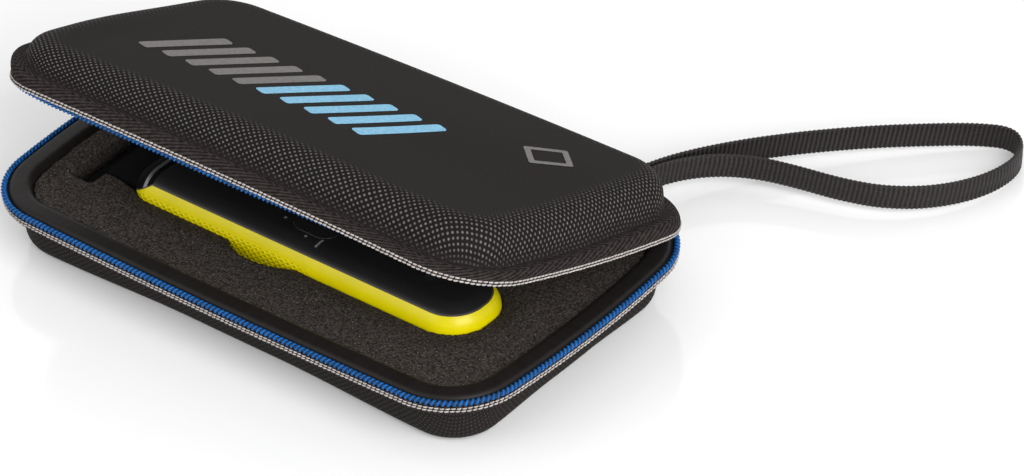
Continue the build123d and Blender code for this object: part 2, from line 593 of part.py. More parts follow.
def make_shaver():
    form = handle_form(0, PANEL_TOP)
    hollow = handle_form(HANDLE_WALL, SEAM_HEIGHT + SEAM)
    over_shell, over_seam = above_seam(0), above_seam(SEAM)
    # the drive's bore runs through the neck, and the charging socket fills a hole in the far end
    bore = shaver_rod(NECK_BORE_RADIUS, NECK_END, PANEL_END)
    socket = shaver_rod(SOCKET_RADIUS, HANDLE_END - SOCKET_LENGTH, HANDLE_END)
    parts["shaver_grip_shell"] = form - over_shell - hollow - bore - socket
    parts["shaver_charging_socket"] = socket - shaver_rod(SOCKET_BORE, HANDLE_END - SOCKET_DEPTH, HANDLE_END)
    parts["shaver_seam_trim"] = (form & over_shell) - over_seam - hollow

    cap = form & over_seam
    neck_zone = shaver_box(-CASE_LENGTH, PANEL_END, CASE_WIDTH, 0, TALL)
    neck_low, neck_high = [HANDLE_BOTTOM + rise for rise in NECK_HEIGHTS]
    stub = shaver_box(NECK_END, HANDLE_TIP + HANDLE_TIP_ROUND, NECK_HALF, neck_low, neck_high)
    stub = fillet(stub.edges().filter_by(Axis.X), NECK_ROUND) - form
    parts["shaver_neck"] = (cap & neck_zone) + stub - bore
    band_end = PANEL_END - NECK_BAND_BACK
    band = handle_form(-NECK_BAND_PROUD, PANEL_TOP + NECK_BAND_PROUD) - form
    band &= shaver_box(band_end - NECK_BAND_WIDTH, band_end, CASE_WIDTH, 0, TALL)
    parts["shaver_neck_band"] = band & over_seam

    light = Pos(LIGHT_X, SHAVER_Y, PANEL_TOP - LIGHT_DEPTH / 2) * Cylinder(LIGHT_RADIUS, LIGHT_DEPTH)
    parts["shaver_charge_light"] = light
    parts["shaver_front_panel"] = cap - neck_zone - button_plan(BUTTON_CLEARANCE, 0, TALL) - light
    make_button()
    make_drive()
    make_head()


def button_plan(grow, low, high):
    """The power button's stadium plan, grown by a margin, from low to high."""
    length, width = [size + 2 * grow for size in BUTTON_SIZE]
    return rounded_plate(length, width, width / 2 - 0.01, BUTTON_X, SHAVER_Y, low, high)


def make_button():
    """Power button with its retaining flange, the switch under it and the board that holds the switch."""
    top = PANEL_TOP + BUTTON_PROUD
    flange_top = PANEL_TOP - PANEL_THICKNESS - BUTTON_FLANGE_GAP
    low = flange_top - BUTTON_FLANGE
    button = button_plan(0, low, top)
    button = fillet(edges_at(button, top), BUTTON_PROUD)
    parts["shaver_power_button"] = button + button_plan(BUTTON_CLEARANCE + BUTTON_FLANGE, low, flange_top)
    length, width, thickness = BOARD
    board_top = BOARD_HEIGHT + thickness
    left, right = BOARD_X - length / 2, BOARD_X + length / 2
    parts["shaver_circuit_board"] = shaver_box(left, right, width / 2, BOARD_HEIGHT, board_top)
    switch_top = low - BUTTON_TRAVEL - SWITCH_GAP
    half = SWITCH_SIZE / 2
    parts["shaver_switch"] = shaver_box(BUTTON_X - half, BUTTON_X + half, half, board_top, switch_top)


def make_drive():
    """Motor, battery and their channel, and the shaft with the eccentric pin that works the cutter."""
    front = MOTOR_X - MOTOR_LENGTH / 2
    parts["shaver_motor"] = (shaver_rod(BATTERY_RADIUS, front, front + MOTOR_LENGTH)
                             - shaver_rod(SHAFT_RADIUS + SHAFT_CLEARANCE, front, front + SHAFT_SEAT))
    half = BATTERY_LENGTH / 2
    parts["shaver_battery"] = shaver_rod(BATTERY_RADIUS, BATTERY_X - half, BATTERY_X + half)

    inner = BATTERY_RADIUS + CELL_GAP
    low = HANDLE_INSIDE + CELL_GAP
    end = BOARD_X + BOARD[0] / 2
    channel = shaver_box(front, end, inner + CARRIER_WALL, low, BOARD_HEIGHT)
    parts["shaver_carrier"] = channel - shaver_box(front, end, inner, low, BOARD_HEIGHT - CARRIER_WALL)

    disc_end = NECK_END + WELL_CLEARANCE + ECCENTRIC_LENGTH
    disc_front = disc_end - ECCENTRIC_LENGTH
    shaft = shaver_rod(SHAFT_RADIUS, disc_end, front + SHAFT_SEAT)
    disc = shaver_rod(ECCENTRIC_RADIUS, disc_front, disc_end)
    pin = Pos(0, 0, CRANK_THROW) * shaver_rod(CRANK_PIN_RADIUS, disc_front - CRANK_PIN_LENGTH, disc_front)
    parts["shaver_drive_shaft"] = shaft + disc + pin


def toothed(front, back, half, low, high):
    """A flat plate with a row of teeth along its front edge."""
    plate = shaver_box(front, back, half, low, high)
    count = int((half - TOOTH_GAP) / TOOTH_PITCH)
    for step in range(-count, count + 1):
        gap = Box(TOOTH_DEPTH, TOOTH_GAP, high - low)
        plate -= Pos(front + TOOTH_DEPTH / 2, SHAVER_Y + step * TOOTH_PITCH, (low + high) / 2) * gap
    return plate


def make_head():
    """Cutting head: a slotted frame with two end caps, two toothed guards and the cutter between them."""
    low, high = [HANDLE_BOTTOM + rise for rise in HEAD_HEIGHTS]
    middle = (low + high) / 2
    half = HEAD_HALF - HEAD_CAP
    block = shaver_box(HEAD_FRONT, NECK_END, HEAD_HALF, low, high)
    block = fillet(block.edges().filter_by(Axis.Y), HEAD_ROUND)
    frame = block & shaver_box(HEAD_FRONT, NECK_END, half, low, high)

    fork_front = NECK_END - FORK_GAP - FORK_DEPTH
    slot_half = CUTTER_THICKNESS / 2 + CUTTER_CLEARANCE
    guard_half = slot_half + GUARD_THICKNESS
    frame -= shaver_box(HEAD_FRONT, fork_front + CUTTER_CLEARANCE, half, middle - slot_half, middle + slot_half)
    guard_end = HEAD_FRONT + GUARD_DEPTH
    frame -= shaver_box(HEAD_FRONT, guard_end, half, middle - guard_half, middle + guard_half)

    # the fork has room for the pin's whole circle while the cutter moves by itself
    eye_half = CUTTER_STROKE + CRANK_THROW + CRANK_PIN_RADIUS + FORK_GAP
    eye_rise = CRANK_THROW + CRANK_PIN_RADIUS + FORK_GAP
    fork_half, fork_rise = eye_half + FORK_WALL, eye_rise + FORK_WALL
    room_half = fork_half + CUTTER_STROKE + FORK_GAP
    room_rise = fork_rise + FORK_GAP
    frame -= shaver_box(fork_front - FORK_GAP, NECK_END, room_half,
                        DRIVE_HEIGHT - room_rise, DRIVE_HEIGHT + room_rise)
    parts["shaver_head_frame"] = frame
    parts["shaver_head_caps"] = (block - shaver_box(HEAD_FRONT, NECK_END, half, 0, TALL)).solids()

    tip = HEAD_FRONT - TOOTH_DEPTH - GUARD_REACH
    parts["shaver_guard_plates"] = [
        toothed(tip, guard_end, half, middle + slot_half, middle + guard_half),
        toothed(tip, guard_end, half, middle - guard_half, middle - slot_half),
    ]
    cutter = toothed(tip + GUARD_REACH, fork_front + FORK_WALL / 2, CUTTER_HALF,
                     middle - CUTTER_THICKNESS / 2, middle + CUTTER_THICKNESS / 2)
    fork = shaver_box(fork_front, fork_front + FORK_DEPTH, fork_half,
                      DRIVE_HEIGHT - fork_rise, DRIVE_HEIGHT + fork_rise)
    eye = shaver_box(fork_front, fork_front + FORK_DEPTH, eye_half,
                     DRIVE_HEIGHT - eye_rise, DRIVE_HEIGHT + eye_rise)
    parts["shaver_cutter"] = (cutter & shaver_box(tip, fork_front, half, 0, TALL)) + (fork - eye)


make_tray()
parts["base_zipper_coil"] = zipper_track(COIL_RADIUS, RIM_HEIGHT)
parts["base_stitch_rows"] = seam_rows(RIM_HEIGHT - STITCH_DROP - STITCH_PITCH)
parts["base_track_stops"] = track_stops(FLANGE_TOP, RIM_HEIGHT + COIL_RADIUS)
hinge_low, hinge_high = make_hinge()
parts["base_hinge_cloth"] = hinge_low
make_foam()
make_strap()
parts["zipper_sliders"] = [slider(-1), slider(1)]
parts["left_zipper_pull"] = pull(-1)
parts["right_zipper_pull"] = pull(1)
make_shaver()
for name, shape in {**make_lid(), **make_print(), "lid_hinge_cloth": hinge_high}.items():
    pieces = shape if isinstance(shape, list) else [shape]
    parts[name] = [lid_pose(piece) for piece in pieces]

os.makedirs("parts", exist_ok=True)
for name, shape in parts.items():
    pieces = shape if isinstance(shape, list) else [shape]
    export_step(Compound(children=pieces) if len(pieces) > 1 else pieces[0], f"parts/{name}.step")
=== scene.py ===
"""Finish of a hard zip case with the electric shaver that it holds.

Woven covers, zipper tape and coil, seam thread, padded lips, foam, webbing strap, printed stripes and the
shaver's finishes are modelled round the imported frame. Lengths are in metres unless a name says otherwise.
"""
import json

import bmesh
import bpy
import numpy as np
from mathutils import Matrix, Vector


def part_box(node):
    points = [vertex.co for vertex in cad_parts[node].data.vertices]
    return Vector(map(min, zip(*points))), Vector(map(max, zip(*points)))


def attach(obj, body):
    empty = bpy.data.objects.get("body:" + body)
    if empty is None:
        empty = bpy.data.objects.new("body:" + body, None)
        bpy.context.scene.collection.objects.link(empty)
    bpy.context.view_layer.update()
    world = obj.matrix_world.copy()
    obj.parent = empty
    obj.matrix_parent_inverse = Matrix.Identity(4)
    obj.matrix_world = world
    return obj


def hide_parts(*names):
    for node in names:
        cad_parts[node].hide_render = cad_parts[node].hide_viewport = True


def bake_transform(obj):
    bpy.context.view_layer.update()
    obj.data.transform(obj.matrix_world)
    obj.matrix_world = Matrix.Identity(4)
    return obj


bl_info = {
    "name": "Shaver hard case finish",
    "version": (1, 0, 0),
    "blender": (4, 5, 0),
    "location": "3D View > Sidebar > Case",
    "description": "Builds the covers, zipper, foam, strap and shaver finishes of a hard travel case",
    "category": "Object",
}

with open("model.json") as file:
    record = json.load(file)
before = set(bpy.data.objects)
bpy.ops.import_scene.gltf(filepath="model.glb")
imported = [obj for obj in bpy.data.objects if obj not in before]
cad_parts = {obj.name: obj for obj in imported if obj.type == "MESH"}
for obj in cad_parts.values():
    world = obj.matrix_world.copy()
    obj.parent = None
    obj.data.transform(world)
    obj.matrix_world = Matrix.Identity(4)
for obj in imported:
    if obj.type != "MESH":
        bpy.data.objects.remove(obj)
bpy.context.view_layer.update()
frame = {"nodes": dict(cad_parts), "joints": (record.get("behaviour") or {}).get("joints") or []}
MM = 0.001

# ---------------------------------------------------------------- places taken from the frame
COIL_LOW, COIL_HIGH = [np.array(corner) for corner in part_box("base_zipper_coil")]
COIL_REACH = (COIL_HIGH[2] - COIL_LOW[2]) / 2
COIL_Z = COIL_LOW[2] + COIL_REACH
HALF_LENGTH = COIL_HIGH[0] - COIL_REACH
HALF_WIDTH = -COIL_LOW[1] - COIL_REACH
HINGE = next(np.array(joint["pos_m"]) for joint in frame["joints"] if joint["name"] == "lid_hinge")
SHEET_LOW, SHEET_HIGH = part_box("foam_backing_sheet")
HANDLE_LOW, HANDLE_HIGH = [np.array(corner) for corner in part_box("shaver_grip_shell")]
TAB_LOW, TAB_HIGH = [np.array(corner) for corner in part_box("strap_anchor_tab")]
STRAP_EXIT = np.array([(TAB_LOW[0] + TAB_HIGH[0]) / 2, TAB_HIGH[1], (TAB_LOW[2] + TAB_HIGH[2]) / 2])

# ---------------------------------------------------------------- outline of the case
LONG_BULGE = 1.7 * MM
SHORT_BULGE = 3.9 * MM
CORNER = 23.4 * MM
DEEPEST = 14.5 * MM             # further in than this, an outline shrinks towards the middle

# ---------------------------------------------------------------- tray, shut lid and zipper
CREASE_INSET = 5.2 * MM
TRAY_CREASE = COIL_Z - 5.4 * MM
FLANGE_TOP = COIL_Z - 0.95 * MM
FLANGE_PROUD = 0.3 * MM
FLANGE_ROUND = 3.4 * MM
LID_COIL_Z = COIL_Z + 0.8 * MM
LID_TAPE_BOTTOM = COIL_Z + 1.4 * MM
LID_FLANGE_BOTTOM = COIL_Z + 2.25 * MM
LID_CREASE = COIL_Z + 6.0 * MM
LID_TOP = COIL_Z + 15.4 * MM
LID_ANGLE = np.radians(19.25)
LID_CLIMB = 2.4 * MM
LID_ARCH = 1.9 * MM
LID_CROWN = 0.2 * MM
LID_SINK = 1.2 * MM              # how far the dome's front right sinks and its front left rises
LID_DRAW = 3.8 * MM              # how far the left end of the lid's flange draws in
SHOULDER = 8.0 * MM
WALL_LEAN = 0.6 * MM
WALL_ROLL = 0.9 * MM             # radius of the roll by which the lid's wall leaves the crease
CLOTH = 0.6 * MM
BOARD = 2.0 * MM
TRAY_INSIDE = 3.1 * MM
FOOT = 6.0 * MM
FOOT_INSET = CREASE_INSET + 1.1 * MM + FOOT
WELL_SAG = 1.5 * MM              # how far the foam's top sinks where the handle presses past it
WAIST_LONG = 3.7 * MM            # how far the long walls draw in at the floor
WAIST_SHORT = 3.0 * MM
LEFT_DRAW = 1.5 * MM             # how far the tray's left end draws in
COIL_GAP_HALF = 61.0 * MM
TAPE_INNER = 2.2 * MM            # inset of the tape's sewn edge
TAPE_MIDDLE = 7.7 * MM           # from the tape's sewn edge to where its ribs turn back
COIL_HELIX, COIL_WIRE, COIL_CORD = 0.58, 0.42, 0.55   # radii as shares of the coil's own
SEWN_SIDE = 0.8                  # where on a coil's turn its sewing lies, from outward to upward
SEWN_DIP = 0.55                  # share of the turn's radius that the sewing takes away
SEWN_SPREAD = 0.45
TAPE_LEAN = 0.4                  # how far across the tape its ribs go for each length along it
RIB_SLANT = 0.16                 # how far along the strap its ribs go for each length across it
HINGE_CLOTH_HALF = 58.0 * MM
SEAM_INSET = -0.42 * MM          # the stitches' inset: they stand out of the tape
STITCH_RADIUS = 0.26 * MM
PRINT_LIFT = 0.07 * MM           # how far a print's face stands over the cloth
PRINT_THICK = 0.12 * MM

# ---------------------------------------------------------------- light
SURROUND_LIGHT = 0.62
FLOOR_REACH = 3.0
FLOOR_LIFT = 0.07                # brightness that the floor gains where the camera sees it
# each lamp's name, place, width and power
LAMPS = (("key", (1.15, -0.5, 0.8), 1.0, 19.0), ("fill", (-0.5, -1.0, 0.8), 0.8, 3.0))

MATERIALS = {}


# ================================================================ colours, nodes and materials
def linear(hex_colour):
    """An sRGB hex colour as linear red, green, blue and alpha."""
    value = np.array([int(hex_colour[k:k + 2], 16) for k in (1, 3, 5)]) / 255
    value = np.where(value <= 0.04045, value / 12.92, ((value + 0.055) / 1.055) ** 2.4)
    return (*value.tolist(), 1.0)


def colours():
    return bpy.context.scene.case_colours


def sizes():
    return bpy.context.scene.case_sizes


def shade(colour, factor):
    """A linear colour made darker or lighter by a factor."""
    return (*[min(1.0, channel * factor) for channel in colour[:3]], 1.0)


def add_node(tree, kind, inputs=None, **settings):
    """Adds a node with its settings. An input that is given a socket is linked; anything else is its value."""
    node = tree.nodes.new(kind)
    for name, value in settings.items():
        setattr(node, name, value)
    for key, value in (inputs or {}).items():
        if isinstance(value, bpy.types.NodeSocket):
            tree.links.new(value, node.inputs[key])
        else:
            node.inputs[key].default_value = value
    return node


def start_material(name, **constants):
    """A material with one Principled shader, whose constants are set on its own sockets."""
    material = bpy.data.materials.new(name)
    material.use_nodes = True
    shader = material.node_tree.nodes["Principled BSDF"]
    for key, value in constants.items():
        shader.inputs[key.replace("_", " ")].default_value = value
    MATERIALS[name] = material
    return material.node_tree, shader


def maths(tree, operation, *values):
    """The value socket of a Math node."""
    return add_node(tree, "ShaderNodeMath", dict(enumerate(values)), operation=operation).outputs[0]


def vector_maths(tree, operation, *values):
    """The vector socket of a Vector Math node."""
    node = add_node(tree, "ShaderNodeVectorMath", dict(enumerate(values)), operation=operation)
    return node.outputs["Value" if operation == "LENGTH" else "Vector"]


def ribs(tree, first, slope, second, period):
    """A sine that runs through one turn in each period of slope * first + second."""
    slanted = maths(tree, "MULTIPLY_ADD", first, slope, second)
    return maths(tree, "SINE", maths(tree, "MULTIPLY", slanted, 2 * np.pi / period))


def mapped(tree, value, low, high, to_low=0.0, to_high=1.0):
    """A value taken smoothly from one range to another and held at its ends."""
    return add_node(tree, "ShaderNodeMapRange", {0: value, 1: low, 2: high, 3: to_low, 4: to_high},
                    interpolation_type="SMOOTHSTEP").outputs[0]


def ramp(tree, factor, low, dark, high, light):
    """A colour from dark at the low factor to light at the high one."""
    node = add_node(tree, "ShaderNodeValToRGB", {"Fac": factor})
    for element, position, colour in zip(node.color_ramp.elements, (low, high), (dark, light)):
        element.position = position
        element.color = colour
    return node.outputs["Color"]


def mixed(tree, factor, first, second):
    """One colour blended into another by a factor."""
    return add_node(tree, "ShaderNodeMix", {0: factor, 6: first, 7: second}, data_type="RGBA").outputs[2]


def cloth_coordinates(tree):
    return add_node(tree, "ShaderNodeUVMap", uv_map="cloth").outputs["UV"]


def object_coordinates(tree):
    return add_node(tree, "ShaderNodeTexCoord").outputs["Object"]


def noise(tree, vector, scale, detail=2.0):
    return add_node(tree, "ShaderNodeTexNoise", {"Vector": vector, "Scale": scale, "Detail": detail}).outputs["Fac"]


def finish_surface(tree, shader, colour, height=None, depth=0.0):
    """Links a colour, and a bump of the given depth where there is one, to the shader."""
    tree.links.new(colour, shader.inputs["Base Color"])
    if height is not None:
        bump = add_node(tree, "ShaderNodeBump", {"Height": height, "Strength": 1.0, "Distance": depth})
        tree.links.new(bump.outputs["Normal"], shader.inputs["Normal"])


def grained(name, colour, spread, scale, depth=0.0, **constants):
    """A material whose colour and bump follow one fine grain: spread is how far the colour goes each way."""
    tree, shader = start_material(name, **constants)
    grain = noise(tree, object_coordinates(tree), scale, 3.0)
    tones = ramp(tree, grain, 0.3, shade(colour, 1 - spread), 0.7, shade(colour, 1 + spread))
    finish_surface(tree, shader, tones, grain if depth else None, depth)


def make_woven_cover():
    """Solution-dyed polyester in a diagonal basket weave moulded over EVA, with pale core threads.

    The cloth is pulled open over the shoulders and walls, where the pale threads show as rows of dots, and stays
    shut on the flat top. The pale dots are partly the threads' own colour and partly a painted highlight, and just
    above the lid's crease they are faded out as painted shade. The cloth's coordinates are scaled and turned by 45
    degrees, so that whole numbers fall on the crossings of the weave."""
    paint, size = colours(), sizes()
    tree, shader = start_material("woven_polyester", Roughness=0.6, Specular_IOR_Level=0.03)
    crossing = add_node(tree, "ShaderNodeMapping", {
        "Vector": cloth_coordinates(tree), "Rotation": (0.0, 0.0, np.pi / 4),
        "Scale": (np.sqrt(2) / size.weave_length, np.sqrt(2) / size.weave_width, 1.0)}).outputs[0]
    pull = add_node(tree, "ShaderNodeTexNoise", {"Vector": crossing, "Scale": 0.09, "Detail": 1.0}).outputs["Color"]
    pulled = vector_maths(tree, "MULTIPLY_ADD", pull, (0.9, 0.9, 0.0), crossing)
    wander = add_node(tree, "ShaderNodeTexNoise", {"Vector": crossing, "Scale": 0.8, "Detail": 1.0}).outputs["Color"]
    shifted = vector_maths(tree, "MULTIPLY_ADD", wander, (0.2, 0.2, 0.0), pulled)
    centred = vector_maths(tree, "SUBTRACT", vector_maths(tree, "FRACTION", shifted), (0.5, 0.5, 0.0))
    dot = mapped(tree, vector_maths(tree, "LENGTH", centred), 0.12, 0.34, 1.0, 0.0)
    stretch_and_painted_light = add_node(tree, "ShaderNodeAttribute", attribute_name="stretch_and_painted_light").outputs["Fac"]
    patchy = mapped(tree, noise(tree, crossing, 0.6, 2.0), 0.25, 0.75, 0.55, 1.15)
    # painted highlight: the pale dots are partly the threads' own colour and partly a painted highlight where the
    # cover is open
    shown = maths(tree, "MULTIPLY", maths(tree, "MULTIPLY", dot, stretch_and_painted_light), patchy)
    grain = noise(tree, crossing, 2.6, 3.0)
    flat = ramp(tree, grain, 0.3, shade(paint.cloth, 0.8), 0.7, shade(paint.cloth, 1.2))
    open_ground = mixed(tree, stretch_and_painted_light, flat, shade(paint.cloth, 0.62))
    height = maths(tree, "MULTIPLY_ADD", grain, 0.25, maths(tree, "MULTIPLY", dot, mapped(tree, stretch_and_painted_light, 0, 1, 0.15)))
    finish_surface(tree, shader, mixed(tree, shown, open_ground, paint.cloth_threads), height, 0.14 * MM)


def make_zipper_tape():
    """Herringbone polyester zipper tape: fine ribs that turn back along the middle of the band."""
    paint = colours()
    tree, shader = start_material("herringbone_tape", Roughness=0.7, Specular_IOR_Level=0.03)
    place = cloth_coordinates(tree)
    split = add_node(tree, "ShaderNodeSeparateXYZ", {0: place})
    across = maths(tree, "ABSOLUTE", maths(tree, "SUBTRACT", split.outputs["Y"], TAPE_MIDDLE))
    rib = ribs(tree, split.outputs["X"], TAPE_LEAN, across, sizes().tape_rib)
    # painted shade and highlight: the ribs' colour runs dark in their valleys and light on their crowns
    rib_shade_and_highlight = maths(tree, "MULTIPLY_ADD", rib, 0.22, noise(tree, place, 700.0, 3.0))
    finish_surface(tree, shader, ramp(tree, rib_shade_and_highlight, 0.25, shade(paint.tape, 0.4), 0.85, shade(paint.tape, 2.2)),
                   rib_shade_and_highlight, 0.1 * MM)


def make_coil():
    """Nylon monofilament zipper coil, dyed blue, on a cord painted much darker than the coil as painted shade between
    the turns.
    """
    paint = colours()
    grained("coil_nylon", paint.coil, 0.3, 260.0, Roughness=0.35, Specular_IOR_Level=0.15)
    # painted shade: the cord inside the coil is painted nearly black-blue, the shade seen between the turns
    grained("coil_cord_painted_shade", shade(paint.coil, 0.16), 0.3, 500.0, Roughness=0.8)


def make_threads():
    """Bonded polyester sewing thread, off-white, and the black thread of the bar tack and track stops."""
    grained("seam_thread", colours().thread, 0.22, 700.0, 0.1 * MM, Roughness=0.6, Specular_IOR_Level=0.1)
    grained("seam_black", shade(colours().cloth, 0.5), 0.3, 900.0, 0.08 * MM, Roughness=0.6, Specular_IOR_Level=0.2)


def make_lip():
    """Thin coated knit over a foam core, drawn tight and satin, with faint cross ribs."""
    paint = colours()
    tree, shader = start_material("lip_knit", Roughness=0.42, Specular_IOR_Level=0.14)
    stretched = vector_maths(tree, "MULTIPLY", cloth_coordinates(tree), (600.0, 90.0, 1.0))
    threads = noise(tree, stretched, 1.0, 2.0)
    finish_surface(tree, shader, ramp(tree, threads, 0.2, shade(paint.lip, 0.8), 0.9, shade(paint.lip, 1.3)),
                   threads, 0.05 * MM)


def make_foams():
    """Open-cell polyurethane foam, dark with pale broken cells, and its closed-cell backing sheet."""
    paint = colours()
    tree, shader = start_material("open_cell_foam", Roughness=0.95, Specular_IOR_Level=0.02)
    place = object_coordinates(tree)
    pores = noise(tree, place, 1300.0, 4.0)
    speck = mapped(tree, noise(tree, place, 2300.0, 2.0), 0.60, 0.74, 0.0, 0.8)
    ground = ramp(tree, pores, 0.34, shade(paint.foam, 0.45), 0.68, shade(paint.foam, 1.7))
    finish_surface(tree, shader, mixed(tree, speck, ground, paint.foam_specks), pores, 0.3 * MM)
    grained("closed_cell_sheet", shade(paint.foam, 0.7), 0.15, 800.0, 0.05 * MM, Roughness=0.8)


def make_linings():
    """Brushed nylon lining, the EVA board behind it and the plain-woven cloth of the hinge."""
    paint = colours()
    grained("brushed_nylon", shade(paint.cloth, 0.8), 0.3, 1200.0, 0.1 * MM, Roughness=0.85,
            Specular_IOR_Level=0.1, Sheen_Weight=0.12)
    grained("eva_board", shade(paint.cloth, 0.5), 0.15, 500.0, 0.05 * MM, Roughness=0.75)
    tree, shader = start_material("hinge_cloth", Roughness=0.75, Specular_IOR_Level=0.12)
    weave = add_node(tree, "ShaderNodeTexChecker", {"Vector": cloth_coordinates(tree),
                                                    "Scale": 1 / (0.7 * MM)}).outputs["Fac"]
    worn = maths(tree, "MULTIPLY_ADD", noise(tree, object_coordinates(tree), 300.0, 3.0), 0.8, weave)
    finish_surface(tree, shader, ramp(tree, worn, 0.2, shade(paint.cloth, 0.45), 1.0, shade(paint.cloth, 1.5)),
                   weave, 0.1 * MM)


def make_webbing():
    """Ribbed polypropylene webbing: slanted ribs across a black band, painted darker between them and paler on their
    crowns as painted shade and highlight.
    """
    paint = colours()
    tree, shader = start_material("webbing", Roughness=0.4, Specular_IOR_Level=0.2)
    place = cloth_coordinates(tree)
    split = add_node(tree, "ShaderNodeSeparateXYZ", {0: place})
    rib = ribs(tree, split.outputs["Y"], RIB_SLANT, split.outputs["X"], sizes().strap_rib)
    # painted shade and highlight: the ribs' colour runs dark in their valleys and light on their crowns
    rib_shade_and_highlight = maths(tree, "MULTIPLY_ADD", rib, 0.3, noise(tree, place, 1500.0, 2.0))
    finish_surface(tree, shader, ramp(tree, rib_shade_and_highlight, 0.25, shade(paint.webbing, 0.5), 0.95, shade(paint.webbing, 2.6)),
                   rib_shade_and_highlight, 0.12 * MM)
    grained("webbing_plain", paint.webbing, 0.4, 900.0, 0.08 * MM, Roughness=0.6, Specular_IOR_Level=0.15)


def make_prints():
    """Screen-printed inks that let the cloth's grain through."""
    grained("print_blue", colours().print_blue, 0.14, 900.0, 0.06 * MM, Roughness=0.6, Specular_IOR_Level=0.2)
    grained("print_grey", colours().print_grey, 0.16, 900.0, 0.06 * MM, Roughness=0.6, Specular_IOR_Level=0.2)


def make_grip():
    """Moulded yellow-green elastomer over ABS; below its smooth band the grip has slanted overlapping scales.

    A scale's ridge runs where (x + 0.9 z) / length or (x - 1.6 z) / length is a whole number. The valleys between
    the scales are painted darker, as painted shade."""
    paint, size = colours(), sizes()
    tree, shader = start_material("grip_elastomer", Roughness=0.3, Specular_IOR_Level=0.35)
    split = add_node(tree, "ShaderNodeSeparateXYZ", {0: object_coordinates(tree)})
    along, up = split.outputs["X"], split.outputs["Z"]
    low = mapped(tree, up, 19.2 * MM, 17.6 * MM)
    ahead = mapped(tree, along, 16.0 * MM, 2.0 * MM)
    waves = [ribs(tree, up, slope, along, size.grip_scale) for slope in (0.9, -1.6)]
    ridge = maths(tree, "MULTIPLY", maths(tree, "MAXIMUM", *waves), maths(tree, "MULTIPLY", low, ahead))
    grain = noise(tree, object_coordinates(tree), 90.0, 2.0)
    # painted shade: the valleys between the scales are painted a dark yellow-green
    painted_valley_shade = mapped(tree, ridge, -0.9, 0.3, 0.2, 0.0)
    smooth = ramp(tree, grain, 0.3, shade(paint.grip, 0.95), 0.7, shade(paint.grip, 1.05))
    finish_surface(tree, shader, mixed(tree, painted_valley_shade, smooth, shade(paint.grip, 0.35)), ridge, 0.14 * MM)


def make_shaver_plastics():
    """Moulded ABS of the shaver: glossy black panel, satin black neck, warm grey trim and silver band."""
    paint = colours()
    grained("panel_gloss", paint.panel, 0.1, 60.0, Roughness=0.28, Specular_IOR_Level=0.5)
    grained("button_gloss", shade(paint.panel, 1.15), 0.1, 60.0, Roughness=0.25, Specular_IOR_Level=0.4)
    grained("neck_black", shade(paint.panel, 0.3), 0.15, 300.0, 0.02 * MM, Roughness=0.7, Specular_IOR_Level=0.03)
    grained("trim_grey", paint.trim, 0.08, 200.0, Roughness=0.4, Specular_IOR_Level=0.3)
    grained("mark_grey", linear("#8f8b88"), 0.08, 300.0, Roughness=0.5)
    grained("band_silver", linear("#77787b"), 0.06, 150.0, Roughness=0.35, Metallic=0.7)
    grained("light_lens", linear("#2b2c30"), 0.1, 150.0, Roughness=0.1, Coat_Weight=0.6)
    grained("carrier_plastic", linear("#3a3b3d"), 0.1, 200.0, Roughness=0.5)


def make_metals():
    """Black die-cast zinc, stainless blade steel, zinc-plated motor can, solder-masked board and shrink wrap."""
    grained("zinc_black", linear("#202021"), 0.35, 400.0, 0.03 * MM, Roughness=0.35, Metallic=0.7)
    grained("blade_steel", linear("#b9bcc0"), 0.08, 500.0, 0.01 * MM, Roughness=0.28, Metallic=1.0)
    grained("motor_steel", linear("#a6a8ab"), 0.1, 300.0, 0.02 * MM, Roughness=0.35, Metallic=1.0)
    grained("board_green", linear("#1f5a34"), 0.12, 250.0, Roughness=0.45)
    grained("battery_wrap", linear("#2f6fb0"), 0.06, 120.0, Roughness=0.4)


MAKERS = (make_woven_cover, make_zipper_tape, make_coil, make_threads, make_lip, make_foams, make_linings,
          make_webbing, make_prints, make_grip, make_shaver_plastics, make_metals)


# ================================================================ lines and vectors
def unit(vectors):
    """Vectors made one long."""
    return vectors / np.linalg.norm(vectors, axis=-1, keepdims=True)


def lengths_along(points):
    """The length along a line at each of its points."""
    return np.concatenate([[0], np.cumsum(np.linalg.norm(np.diff(points, axis=0), axis=1))])


def read_at(wanted, lengths, points):
    """Points of a line, or its normals, at the wanted lengths along it."""
    return np.stack([np.interp(wanted, lengths, column) for column in points.T], -1)


def even_line(points, count):
    """Points at equal steps along a line, with their lengths along it."""
    lengths = lengths_along(points)
    wanted = np.linspace(0, lengths[-1], count)
    return read_at(wanted, lengths, points), wanted


def grid_coordinates(along, across):
    """Cloth coordinates of a grid whose columns go along the cloth and whose rows go across it."""
    return np.stack(np.broadcast_arrays(along[None, :], across[:, None]), -1)


